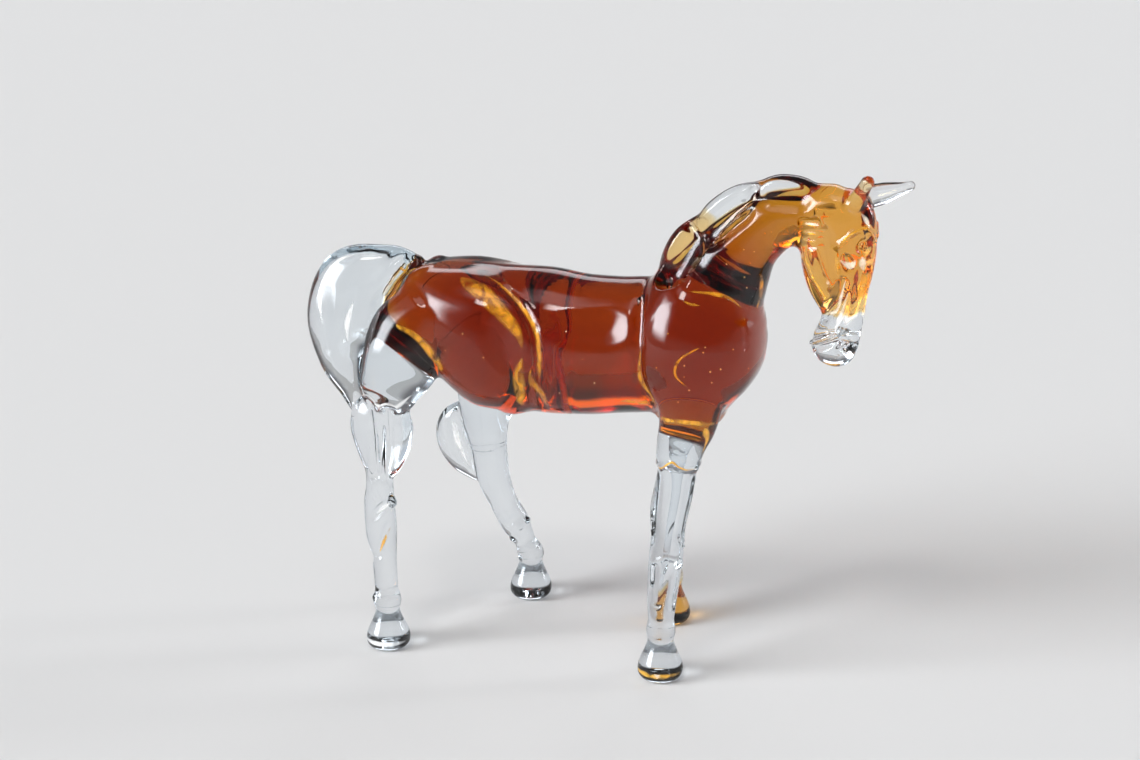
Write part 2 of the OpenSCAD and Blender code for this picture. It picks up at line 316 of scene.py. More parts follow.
def skin_of(low: np.ndarray, values: np.ndarray, level: float) -> tuple[np.ndarray, np.ndarray]:
    """Quads of a field's surface at a level, facing outwards.

    Args:
        low: The box's lowest voxel.
        values: The field.
        level: The value to follow.

    Returns:
        (n, 3) points in millimetres and (m, 4) vertex numbers.
    """
    grid = vdb.FloatGrid(BAND)
    grid.copyFromArray(np.ascontiguousarray(values), ijk=tuple(int(i) for i in low))
    grid.transform = vdb.createLinearTransform(VOXEL)
    points, quads = grid.convertToQuads(level)
    points, quads = points.astype(float), quads.astype(np.int64)
    a, b, c, d = (points[quads[:, i]] for i in range(4))
    volume = np.einsum("ij,ij->i", a, np.cross(b, c) + np.cross(c, d)).sum()
    return points, quads if volume > 0 else quads[:, ::-1]


# ---- Shapes of hot glass ----


@dataclass(frozen=True)
class Gather:
    """A gather of glass: an oval section carried along a curved line, with rounded or flat ends.

    Stations are (x, y, z, radius in the upright plane, radius across it).
    """

    name: str
    glass: Glass
    stations: tuple[tuple[float, ...], ...]
    dome: tuple[float, float] = (1.0, 1.0)
    squareness: float = 2.0
    standing: bool = False
    turned: bool = False
    fillet: float = 0.7
    sides: int = 64
    steps: int = 9

    def ring(self, centre: np.ndarray, up: float, across: float, along: np.ndarray) -> np.ndarray:
        """One ring of the section.

        Args:
            centre: Its middle.
            up: Radius in the upright plane.
            across: Radius across that plane.
            along: The line's heading there.

        Returns:
            (sides, 3) points.
        """
        side = unit(np.array([0.0, 1.0, 0.0]) - along[1] * along)
        upwards = np.cross(along, side)
        a = 2 * math.pi * np.arange(self.sides) / self.sides
        power = 2.0 / self.squareness
        c = np.sign(np.cos(a)) * np.abs(np.cos(a)) ** power
        s = np.sign(np.sin(a)) * np.abs(np.sin(a)) ** power
        return centre + up * c[:, None] * upwards + across * s[:, None] * side

    def surface(self) -> tuple[np.ndarray, np.ndarray]:
        """The gather's closed surface.

        Returns:
            (n, 3) points in the part's frame and (m, 3) vertex numbers.
        """
        line = curve_through(np.array(self.stations, dtype=float), self.steps)
        ahead = unit(np.vstack([line[1:, :3], line[-1:, :3]]) - np.vstack([line[:1, :3], line[:-1, :3]]))
        if self.standing:
            ahead[-1] = (0.0, 0.0, -1.0)
        rings = [self.ring(p[:3], p[3], p[4], w) for p, w in zip(line, ahead)]
        first = self.dome_rings(line[0], ahead[0], -self.dome[0])
        last = self.dome_rings(line[-1], ahead[-1], self.dome[1])
        tips = [line[0, :3] - ahead[0] * self.dome[0], line[-1, :3] + ahead[-1] * self.dome[1]]
        return closed_tube(first[::-1] + rings + last, tips, self.turned)

    def dome_rings(self, station: np.ndarray, heading: np.ndarray, rise: float) -> list[np.ndarray]:
        """The rings of a rounded end, outwards from its station; none where the end is flat."""
        if rise == 0:
            return []
        return [
            self.ring(station[:3] + heading * rise * math.sin(a), *(station[3:5] * math.cos(a)), heading)
            for a in np.radians(DOME_ANGLES)
        ]


def closed_tube(
    rings: list[np.ndarray], tips: list[np.ndarray], turned: bool | None = False
) -> tuple[np.ndarray, np.ndarray]:
    """Skins a stack of rings and closes both ends to a tip.

    Args:
        rings: Rings with the same number of points each.
        tips: The first and last points.
        turned: True for what turns with the head, and None for points already in the part's frame.

    Returns:
        (n, 3) points in the part's frame and (m, 3) vertex numbers.
    """
    n, count = len(rings[0]), len(rings)
    points = np.vstack([*rings, np.array(tips)])
    if turned is not None:
        points = to_row(points, turned)
    k = np.arange(n)
    after = (k + 1) % n
    faces = []
    for i in range(count - 1):
        a, b = i * n + k, i * n + after
        faces += [np.stack([a, b + n, a + n], 1), np.stack([a, b, b + n], 1)]
    faces.append(np.stack([after, k, np.full(n, count * n)], 1))
    last = (count - 1) * n
    faces.append(np.stack([last + k, last + after, np.full(n, count * n + 1)], 1))
    return points, np.vstack(faces)


@dataclass(frozen=True)
class Hoof:
    """A bell turned about an upright line, with a small flat to stand on."""

    name: str
    glass: Glass
    place: tuple[float, float]
    radius: float = 3.45
    flat_radius: float = 2.3
    height: float = 7.0
    pastern_radius: float = 1.85
    widest_z: float = 1.7
    fillet: float = 0.3

    def surface(self) -> tuple[np.ndarray, np.ndarray]:
        """The bell's closed surface, in the same form as a gather's."""
        edge = np.radians(np.linspace(0, 75, 6))
        t = np.linspace(0, 1, 15)
        spread = (self.radius - self.pastern_radius) * (1 + np.cos(math.pi * t**0.85)) / 2
        profile = [
            (self.flat_radius + (self.radius - self.flat_radius) * math.sin(a), self.widest_z * (1 - math.cos(a)))
            for a in edge
        ] + list(zip(self.pastern_radius + spread, self.widest_z + (self.height - self.widest_z) * t))
        a = 2 * math.pi * np.arange(64) / 64
        x, y = self.place
        rings = [np.stack([x + r * np.sin(a), y + r * np.cos(a), np.full(64, z)], 1) for r, z in profile[::-1]]
        return closed_tube(rings, [np.array([x, y, self.height]), np.array([x, y, 0.0])])

    def front_rim(self, z: float) -> tuple[Place, ...]:
        """Points round the front of the bell at a height, for the painted glow that its edge holds."""
        x, y = self.place
        r = self.radius - 0.15
        turns = (math.radians(t) for t in (190, 228, 270, 312, 350))
        return tuple((x + r * math.cos(t), y + r * math.sin(t), z) for t in turns)


@dataclass(frozen=True)
class Stroke:
    """A stroke of a tool on the hot glass, from one point to another."""

    touch: Touch
    start: Place
    end: Place
    radius: float
    end_radius: float | None = None
    soft: float = 0.5
    turned: bool = False
    fine_radius: float = 1.2
    press_firmer: float = 0.24
    add_firmer: float = 0.1
    wide_firmer: float = 0.12

    def apply(self, block: VoxelBlock) -> None:
        """Works the stroke into the block's field."""
        p, q = to_row([self.start, self.end], self.turned)
        r1 = self.radius if self.end_radius is None else self.end_radius
        reach = max(self.radius, r1) + self.soft + 2 * VOXEL
        low = np.floor((np.minimum(p, q) - reach) / VOXEL).astype(int)
        high = np.ceil((np.maximum(p, q) + reach) / VOXEL).astype(int)
        low = np.maximum(low, block.low)
        high = np.minimum(high, block.low + np.array(block.values.shape) - 1)
        shape = tuple(high - low + 1)
        x, y, z = block.axes_at(low, shape)
        along = q - p
        length2 = max(float(along @ along), 1e-9)
        t = ((x - p[0]) * along[0] + (y - p[1]) * along[1] + (z - p[2]) * along[2]) / length2
        t = np.clip(t, 0.0, 1.0)
        away = np.sqrt(
            (x - p[0] - t * along[0]) ** 2 + (y - p[1] - t * along[1]) ** 2 + (z - p[2] - t * along[2]) ** 2
        )
        firmer = self.wide_firmer
        if self.radius < self.fine_radius:
            firmer = self.press_firmer if self.touch is Touch.PRESS else self.add_firmer
        tool = away - (self.radius + firmer + (r1 - self.radius) * t)
        window = block.window(low, shape)
        if self.touch is Touch.ADD:
            block.values[window] = melt(block.values[window], tool, self.soft)
        else:
            block.values[window] = -melt(-block.values[window], tool, self.soft)


def press(start: Place, end: Place, radius: float, **more: float | bool) -> Stroke:
    """A groove or dimple pressed into the glass."""
    return Stroke(Touch.PRESS, start, end, radius, **more)


def ridge(start: Place, end: Place, radius: float, **more: float | bool) -> Stroke:
    """A thread or bead of glass added on top."""
    return Stroke(Touch.ADD, start, end, radius, **more)


def along(make: Callable[..., Stroke], points: Sequence[Place], radius: float, **more: float | bool) -> list[Stroke]:
    """The same stroke carried from point to point."""
    return [make(p, q, radius, **more) for p, q in zip(points, points[1:])]


def across(place: Place, side: float = 1) -> Place:
    """A near-side place carried over to a side of the horse."""
    x, y, z = place
    return (x, -y * side, z)


def mirrored(strokes: Sequence[Stroke]) -> list[Stroke]:
    """The strokes with their likes on the other side of the horse."""
    return [*strokes, *(replace(s, start=across(s.start), end=across(s.end)) for s in strokes)]


# ---- Sub-assemblies: what the horse is made of ----


@dataclass
class Trunk:
    """Barrel, chest and haunches, all in deep amber."""

    back_z: float = 58.4
    belly_z: float = 36.2
    barrel_half_width: float = 9.6
    chest_half_width: float = 11.2

    def gathers(self) -> list[Gather]:
        """The trunk's gathers in the order that they claim the glass where they overlap."""
        z, r = (self.back_z + self.belly_z) / 2, (self.back_z - self.belly_z) / 2
        w, c = self.barrel_half_width, self.chest_half_width
        chest = Gather(
            "chest",
            Glass.AMBER,
            (
                (15.4, 0, 39.4, 5.4, c - 4.6),
                (15.6, 0, 42.8, 7.7, c - 1.6),
                (16.2, 0, 47.4, 9.5, c),
                (16.6, 0, 52.2, 9.5, c - 0.2),
                (17.6, 0, 56.2, 8.4, c - 2.0),
                (18.9, 0, 59.2, 6.3, c - 4.8),
            ),
            dome=(3.4, 1.9),
            squareness=2.3,
            fillet=0.9,
        )
        barrel = Gather(
            "barrel",
            Glass.AMBER,
            (
                (-29.5, 0, z + 4.0, 5.7, 5.2),
                (-25.5, 0, z + 3.0, 7.9, 7.2),
                (-20, 0, z + 1.7, 9.4, 8.6),
                (-14, 0, z + 0.6, r - 0.6, w - 0.3),
                (-7, 0, z, r, w),
                (-1, 0, z - 0.1, r - 0.5, w),
                (5, 0, z + 0.4, r - 0.9, w - 0.2),
                (11, 0, z + 1.0, r - 1.1, w - 0.5),
                (15, 0, z + 1.2, r - 1.8, w - 1.0),
            ),
            dome=(2.6, 2.0),
            fillet=0.9,
        )
        return [chest, barrel, self.haunch(Side.RIGHT), self.haunch(Side.LEFT)]

    def haunch(self, side: Side) -> Gather:
        """The oval gather that slants from the croup down to the flank."""
        s = side.value
        return Gather(
            f"haunch_{side.word}",
            Glass.AMBER,
            (
                (-25.8, s * 2.8, 54.4, 3.9, 4.0),
                (-21.8, s * 3.6, 52.0, 7.0, 6.0),
                (-16.6, s * 4.0, 49.0, 9.3, 7.2),
                (-11.4, s * 4.2, 46.1, 9.7, 7.4),
                (-8.0, s * 4.0, 43.8, 8.0, 6.6),
            ),
            dome=(2.6, 4.8),
            fillet=1.1,
        )

    def strokes(self) -> list[Stroke]:
        """Tool marks on the trunk: the grooves where the haunch and the shoulder meet the barrel."""
        haunch_seam = (
            (-11.2, -6.3, 57.0), (-8.0, -8.0, 54.9), (-5.9, -9.4, 51.9), (-5.1, -10.1, 48.7),
            (-5.0, -10.3, 45.8), (-5.2, -9.5, 41.9), (-5.5, -6.5, 38.3),
        )
        shoulder_seam = (
            (9.0, -6.1, 56.7), (9.7, -9.6, 50.7), (9.7, -9.7, 48.0), (10.0, -9.1, 44.6), (11.2, -7.6, 41.4),
        )
        return mirrored(
            along(press, haunch_seam, 0.55, soft=0.35)
            + along(press, shoulder_seam, 0.6, soft=0.5)
            # the hollow flank behind the haunch seam, and the hollow of the loin
            + [
                press((-9.8, -14.3, 52.6), (-7.7, -14.9, 44.5), 4.6, soft=0.9),
                press((0.5, -13.6, 54.4), (4.5, -13.2, 54.8), 6.0, soft=1.0),
            ]
        )

    def films(self) -> list["CaughtLight"]:
        """Painted golden glows along the seams of the trunk, standing in for the light that the seams catch."""
        band = (
            (-18.2, -5.6, 57.7), (-17.1, -6.4, 57.4), (-14.9, -7.4, 56.6), (-12.6, -8.5, 55.3), (-10.0, -9.5, 53.1),
            (-8.3, -10.1, 50.9), (-7.6, -10.4, 48.6),
        )
        line = (
            (-15.2, -4.0, 57.8), (-11.2, -6.0, 56.6), (-8.0, -7.7, 54.5), (-5.9, -9.0, 51.7), (-5.1, -9.7, 48.7),
            (-5.0, -9.9, 45.8), (-5.1, -9.6, 43.6),
        )
        lobe = ((-7.6, -10.6, 47.2), (-7.9, -10.9, 45.0), (-7.7, -10.5, 43.0), (-7.7, -9.5, 40.4), (-7.6, -8.6, 39.3))
        drip = ((-5.4, -10.1, 45.6), (-5.5, -10.0, 44.2), (-5.2, -8.5, 41.2), (-5.0, -6.2, 38.8))
        shoulder = ((9.8, -9.3, 49.6), (9.8, -9.0, 47.0), (10.0, -8.7, 44.8), (11.0, -7.8, 42.3), (11.4, -7.0, 41.3))
        belly = ((6.4, -6.6, 41.0), (7.8, -6.9, 41.1), (9.5, -6.6, 41.1), (10.9, -6.5, 40.9))
        found = []
        for side in Side:
            for name, node, path, widths, depth in (
                ("band", "haunch", band, (0.2, 1.1, 1.6, 1.55, 1.3, 0.9, 0.2), 0.75),
                ("line", "haunch", line, (0.08, 0.26, 0.34, 0.36, 0.36, 0.34, 0.1), 0.5),
                ("lobe", "haunch", lobe, (0.2, 0.85, 1.0, 0.85, 0.2), 0.6),
                ("drip", "haunch", drip, (0.12, 0.45, 0.55, 0.4), 0.5),
                ("shoulder", "chest", shoulder, (0.1, 0.28, 0.42, 0.4, 0.45), 0.4),
                ("belly", "barrel", belly, (0.15, 0.6, 0.9, 0.5), 0.5),
            ):
                host = f"haunch_{side.word}" if node == "haunch" else node
                there = tuple(across(place, side.value) for place in path)
                found.append(CaughtLight(f"{name}_{side.word}", host, there, widths, depth))
        arc = (
            (19.2, -11.0, 51.5), (18.4, -11.0, 51.1), (16.5, -11.3, 49.8), (15.5, -11.3, 48.2), (15.6, -11.0, 46.4),
            (17.3, -10.6, 45.0),
        )
        base = ((15.9, -8.5, 57.7), (17.1, -8.6, 57.3), (18.5, -8.3, 57.1))
        fold = ((16.4, -7.4, 58.7), (18.6, -7.1, 58.6), (20.6, -6.6, 58.3), (22.4, -5.8, 57.5), (23.7, -4.9, 56.1))
        throat = ((25.2, -2.2, 60.9), (25.4, -1.6, 59.0), (25.4, -1.2, 57.0), (25.2, -1.8, 55.2))
        thigh = (
            (-26.4, -11.2, 51.2), (-25.9, -11.3, 50.7), (-23.7, -11.3, 49.8), (-22.0, -10.7, 48.0),
            (-20.9, -10.0, 46.1), (-20.3, -9.5, 44.4), (-21.0, -8.7, 43.2),
        )
        return found + [
            CaughtLight("arc", "chest", arc, (0.05, 0.16, 0.22, 0.28, 0.24, 0.05), 1.6),
            CaughtLight("withers", "chest", base, (0.06, 0.26, 0.06), 0.5),
            CaughtLight("throat", "neck", throat, (0.15, 0.6, 0.7, 0.15), 0.6),
            CaughtLight("fold", "neck", fold, (0.06, 0.24, 0.34, 0.26, 0.06), 0.6),
            CaughtLight("thigh", "haunch_right", thigh, (0.08, 0.35, 0.5, 0.6, 0.75, 0.6, 0.2), 0.35),
        ]

    def seeds(self) -> list["Seeds"]:
        """The small specks in the amber, made bright by a painted glint, by the gather that holds them."""
        specks = {
            "chest": [
                (16.8, -9.6, 48.6, 0.13), (16.7, -8.9, 46.9, 0.11), (17.4, -9.0, 45.0, 0.15),
                (19.5, -9.2, 51.3, 0.12), (19.1, -8.6, 50.4, 0.13), (20.2, -9.0, 47.9, 0.16),
                (21.3, -8.0, 48.1, 0.16), (20.4, -8.8, 46.3, 0.14), (15.9, -9.0, 42.9, 0.12), (12.8, -7.0, 47.5, 0.1),
                (14.2, -8.0, 52.4, 0.12), (22.0, -5.5, 50.2, 0.12), (18.2, 8.2, 49.0, 0.14), (15.8, 8.8, 46.0, 0.12),
                (20.1, 7.0, 51.0, 0.12), (22.4, -2.0, 47.0, 0.13),
            ],
            "neck": [
                (21.2, -4.4, 62.2, 0.13), (23.4, -3.5, 60.4, 0.14), (23.6, -3.2, 58.8, 0.13),
                (24.7, -3.2, 64.1, 0.11), (23.4, -3.6, 64.3, 0.13), (27.0, -2.6, 67.0, 0.1), (22.0, 2.8, 61.5, 0.12),
                (25.2, 2.0, 66.0, 0.11),
            ],
            "barrel": [
                (-1.2, -8.2, 51.4, 0.12), (3.1, -8.0, 44.2, 0.14), (-2.4, -7.4, 42.0, 0.11), (1.4, -8.4, 47.6, 0.1),
                (6.2, 7.2, 46.1, 0.12),
            ],
            "haunch_right": [(-16.2, -10.0, 50.2, 0.13), (-13.1, -10.2, 47.0, 0.12), (-19.0, -9.6, 47.4, 0.11)],
        }
        return [Seeds(node, tuple(places)) for node, places in specks.items()]


@dataclass
class NeckAndHead:
    """Amber neck, pale skull that runs out to a clear muzzle, and two ears."""

    poll_z: float = 73.3

    def gathers(self) -> list[Gather]:
        """The gathers of the neck, head and ears."""
        top = self.poll_z - 2.4
        skull = Gather(
            "skull",
            Glass.PALE_AMBER,
            (
                (36.0, 0, top, 4.7, 3.2),
                (36.2, 0, top - 1.9, 5.35, 3.7),
                (36.2, 0, top - 5.2, 5.6, 4.0),
                (36.3, 0, top - 8.3, 5.4, 3.9),
                (36.6, 0, top - 11.2, 4.7, 3.5),
                (37.1, 0, top - 13.7, 3.7, 3.0),
                (37.3, 0, top - 14.7, 3.1, 2.7),
            ),
            dome=(2.4, 0.8),
            turned=True,
            fillet=0.8,
        )
        neck = Gather(
            "neck",
            Glass.AMBER,
            (
                (18.8, 0, 57, 6.6, 6.8), (20.5, 0, 61, 6.2, 6.0), (23.2, 0, 64.9, 5.0, 4.8), (27, 0, 67.9, 4.3, 4.1),
                (31.4, 0, 69.3, 4.0, 3.7), (35, 0, 69.4, 3.8, 3.2),
            ),
            dome=(2.0, 1.0),
            fillet=2.2,
        )
        muzzle = Gather(
            "muzzle",
            Glass.CLEAR,
            (
                (37.1, 0, top - 12.4, 3.3, 2.6),
                (37.5, 0, top - 15.1, 3.05, 2.45),
                (37.1, 0, top - 17.3, 3.2, 2.4),
                (36.5, 0, top - 19.3, 3.45, 2.55),
                (36.1, 0, top - 20.6, 3.3, 2.6),
            ),
            dome=(1.0, 2.7),
            turned=True,
            fillet=0.9,
        )
        ear_right = Gather(
            "ear_right",
            Glass.PALE_AMBER,
            ((38.3, -2.6, 71.0, 1.4, 1.35), (39.2, -3.1, 73.0, 1.2, 1.2), (40.2, -3.7, 74.9, 0.95, 0.95)),
            dome=(1.0, 0.95),
            fillet=0.5,
        )
        ear_left = Gather(
            "ear_left",
            Glass.CLEAR,
            (
                (38.2, 0.8, 71.4, 1.5, 1.5), (41.2, 1.5, 72.3, 1.7, 1.3), (44.0, 2.0, 73.2, 1.05, 0.9),
                (45.3, 2.2, 73.6, 0.65, 0.6),
            ),
            dome=(1.0, 0.6),
            fillet=0.5,
        )
        return [skull, neck, muzzle, ear_right, ear_left]

    def strokes(self) -> list[Stroke]:
        """Eyes, brows, cheeks, jaw, nostrils and mouth, and the hollows of the ears."""
        nose = dict(soft=0.25, turned=True)
        marks = [
            # eye: a pressed socket with a small bead of glass in it, under an arched brow
            press((41.2, -2.35, 66.1), (41.1, -2.35, 65.9), 0.9, soft=0.12, turned=True),
            ridge((40.55, -1.8, 66.1), (40.5, -1.8, 66.0), 0.5, soft=0.05, turned=True),
            *along(
                ridge,
                ((37.9, -3.75, 66.2), (39.4, -3.05, 68.0), (40.9, -1.7, 68.5), (41.5, -0.65, 67.0)),
                0.42,
                **nose,
            ),
            # the flat beside the nose, the mark below the eye and the cheek bone
            press((42.7, -3.3, 62.9), (42.0, -2.7, 57.6), 2.5, soft=0.3, turned=True),
            press((38.9, -3.75, 64.2), (39.4, -3.5, 63.4), 0.6, **nose),
            press((37.1, -4.25, 64.9), (37.6, -4.1, 61.6), 0.55, **nose),
            # the hollow cheek, and the rolled edge of the jaw with its bead
            press((34.9, -6.35, 67.2), (36.0, -6.25, 61.6), 2.9, soft=0.35, turned=True),
            *along(
                ridge,
                ((32.1, -2.6, 65.8), (32.8, -2.9, 63.0), (34.0, -3.1, 60.8), (35.3, -3.1, 59.1), (36.0, -3.0, 58.2)),
                0.5,
                **nose,
            ),
            ridge((36.0, -3.0, 58.1), (36.0, -3.0, 58.0), 0.72, **nose),
            # pleats where the jaw meets the throat
            *(
                press((32.3, -3.75, z), (34.3, -3.85, z + 0.1), 0.36, soft=0.15, turned=True)
                for z in (68.8, 67.6, 66.5, 65.4)
            ),
            # two long grooves that run down the nose to the lips
            *along(press, ((38.5, -3.5, 60.9), (37.8, -3.45, 58.3), (35.2, -2.3, 55.2)), 0.55, **nose),
            *along(press, ((38.95, -3.15, 59.1), (38.3, -3.0, 56.4), (36.9, -2.7, 53.4)), 0.5, **nose),
            # mouth and nostrils
            press((33.4, -2.1, 50.4), (36.9, -2.75, 51.9), 0.42, soft=0.15, turned=True),
            *along(ridge, ((33.5, -1.9, 51.2), (35.4, -2.3, 52.1), (36.9, -2.3, 52.9)), 0.4, **nose),
            press((37.4, -2.75, 52.2), (37.4, -2.7, 52.1), 0.55, soft=0.15, turned=True),
            press((38.2, -2.4, 50.8), (38.1, -2.4, 50.6), 0.55, soft=0.15, turned=True),
            ridge((38.4, -1.9, 51.7), (38.1, -2.1, 51.5), 0.42, **nose),
        ]
        hollows = [
            press((40.6, -4.5, 73.2), (41.2, -4.9, 74.9), 0.6, soft=0.2),
            ridge((40.3, -3.75, 75.0), (40.25, -3.7, 74.9), 0.92, soft=0.2),
            press((41.0, 0.2, 74.0), (43.9, 1.0, 74.5), 0.75, soft=0.25),
            ridge((45.2, 2.2, 73.6), (45.15, 2.2, 73.6), 0.68, soft=0.2),
        ]
        return mirrored(marks) + hollows

    def films(self) -> list["CaughtLight"]:
        """Painted highlights and painted golden glows about the eyes, the jaw, the nose and the lips."""
        brow = (
            (38.0, -3.8, 66.2), (38.7, -3.5, 67.3), (39.5, -3.1, 68.0), (40.3, -2.4, 68.4), (41.0, -1.8, 68.5),
            (41.7, -0.7, 67.0),
        )
        under = ((38.5, -3.6, 64.1), (39.3, -3.3, 63.4), (40.0, -2.9, 64.0))
        side = ((40.8, -2.1, 64.4), (41.0, -2.0, 63.4), (41.1, -1.7, 62.2))
        patch = ((41.0, -1.6, 62.0), (41.0, -1.3, 60.7), (40.8, -1.3, 59.4), (40.5, -1.3, 57.8))
        cheek = ((37.1, -3.9, 64.8), (37.3, -3.9, 63.4), (37.5, -3.8, 61.8))
        jaw = ((32.4, -2.9, 64.4), (32.9, -3.1, 62.9), (34.1, -3.3, 60.7), (35.4, -3.3, 59.0), (36.0, -3.2, 58.1))
        nose = ((38.5, -3.3, 60.9), (37.8, -3.2, 58.3), (36.6, -2.7, 56.6), (35.3, -2.0, 55.4))
        ridge_line = ((38.9, -2.9, 59.1), (38.2, -2.7, 56.4), (37.4, -2.5, 54.6), (36.9, -2.4, 53.5))
        mouth = ((34.0, -1.9, 50.7), (35.4, -2.3, 51.4), (36.8, -2.5, 51.9))
        lip = ((34.6, -0.6, 48.2), (36.2, -1.2, 47.6), (37.8, -1.0, 48.4))
        forehead = ((40.3, -2.0, 70.6), (41.0, -1.6, 69.6), (41.4, -1.2, 68.6))
        marks = [
            ("brow", "skull", brow, (0.08, 0.2, 0.26, 0.28, 0.22, 0.06), 0.25, False),
            ("under_eye", "skull", under, (0.1, 0.5, 0.1), 0.35, True),
            ("eye_side", "skull", side, (0.12, 0.65, 0.12), 0.4, True),
            ("cheek_patch", "skull", patch, (0.2, 0.9, 0.85, 0.2), 0.5, False),
            ("cheek", "skull", cheek, (0.08, 0.4, 0.08), 0.4, False),
            ("jaw", "skull", jaw, (0.1, 0.28, 0.36, 0.36, 0.5), 0.3, False),
            ("nose", "muzzle", nose, (0.06, 0.3, 0.36, 0.08), 0.2, True),
            ("nose_ridge", "muzzle", ridge_line, (0.06, 0.3, 0.3, 0.08), 0.2, True),
            ("mouth", "muzzle", mouth, (0.08, 0.22, 0.08), 0.2, False),
            ("lip", "muzzle", lip, (0.15, 0.7, 0.15), 0.5, False),
            ("forehead", "skull", forehead, (0.1, 0.45, 0.1), 0.3, True),
        ]
        thin = ((0.08, 0.24, 0.06), 0.2, False)
        marks += [
            (f"pleat_{i}", "skull", ((32.7, -3.3, z), (33.4, -3.5, z + 0.12), (34.2, -3.6, z)), *thin)
            for i, z in enumerate((68.2, 67.0, 65.9, 64.8))
        ]
        found = []
        for s in Side:
            for name, node, path, widths, depth, pale in marks:
                there = tuple(across(place, s.value) for place in path)
                found.append(CaughtLight(f"{name}_{s.word}", node, there, widths, depth, pale, True))
        return found


@dataclass
class Mane:
    """Three flattened drops that overlap like shingles along the crest."""

    def gathers(self) -> list[Gather]:
        """The three locks, from the withers up to the poll."""
        lower = Gather(
            "mane_lower",
            Glass.PALE_AMBER,
            (
                (11.2, -0.4, 58.6, 1.2, 1.5), (12.7, -0.5, 61.6, 2.0, 2.2), (14.6, -0.5, 64.6, 2.2, 2.1),
                (17.1, -0.3, 67.2, 1.5, 1.5),
            ),
            dome=(1.2, 1.6),
            fillet=0.35,
        )
        middle = Gather(
            "mane_middle",
            Glass.CLEAR,
            (
                (16.2, -0.6, 65.2, 1.5, 1.6), (18.5, -0.6, 68.4, 1.9, 2.2), (21.6, -0.5, 70.9, 1.8, 2.1),
                (24.6, -0.3, 72.4, 1.1, 1.3),
            ),
            dome=(1.2, 1.4),
            fillet=0.35,
        )
        upper = Gather(
            "mane_upper",
            Glass.CLEAR,
            (
                (24.4, -0.5, 71.8, 1.4, 1.6), (27.4, -0.6, 72.9, 1.8, 2.4), (30.4, -0.6, 72.9, 1.7, 2.3),
                (32.8, -0.4, 72.3, 1.1, 1.5),
            ),
            dome=(1.2, 0.9),
            fillet=0.35,
        )
        return [lower, middle, upper]

    def strokes(self) -> list[Stroke]:
        """The flat faces and crisp edges of the locks, and the ridge of the crest beside them."""
        edges = [
            press((13.0, -5.0, 60.8), (15.2, -4.8, 65.0), 2.7, soft=0.3),
            press((18.1, -5.1, 67.0), (22.2, -4.9, 70.4), 2.8, soft=0.3),
            press((26.8, -5.5, 72.5), (30.6, -5.4, 72.7), 3.0, soft=0.3),
            *along(press, ((14.9, -1.6, 66.6), (16.4, -2.7, 65.4), (17.0, -3.9, 63.4)), 0.42, soft=0.2),
            *along(press, ((24.2, -1.9, 72.4), (23.4, -2.9, 70.6), (21.6, -3.3, 68.6)), 0.42, soft=0.2),
            *along(
                ridge,
                (
                    (16.2, -7.0, 58.8), (16.9, -5.0, 61.5), (18.0, -4.2, 63.7), (20.1, -3.3, 66.5),
                    (22.5, -2.7, 68.8), (24.3, -2.2, 70.2),
                ),
                0.45,
                soft=0.4,
            ),
            *along(
                press,
                ((16.1, -5.2, 61.9), (17.3, -4.3, 64.2), (19.2, -3.6, 67.1), (21.6, -3.0, 69.5)),
                0.5,
                soft=0.3,
            ),
        ]
        return mirrored(edges)

    def films(self) -> list["CaughtLight"]:
        """The locks hold none."""
        return []


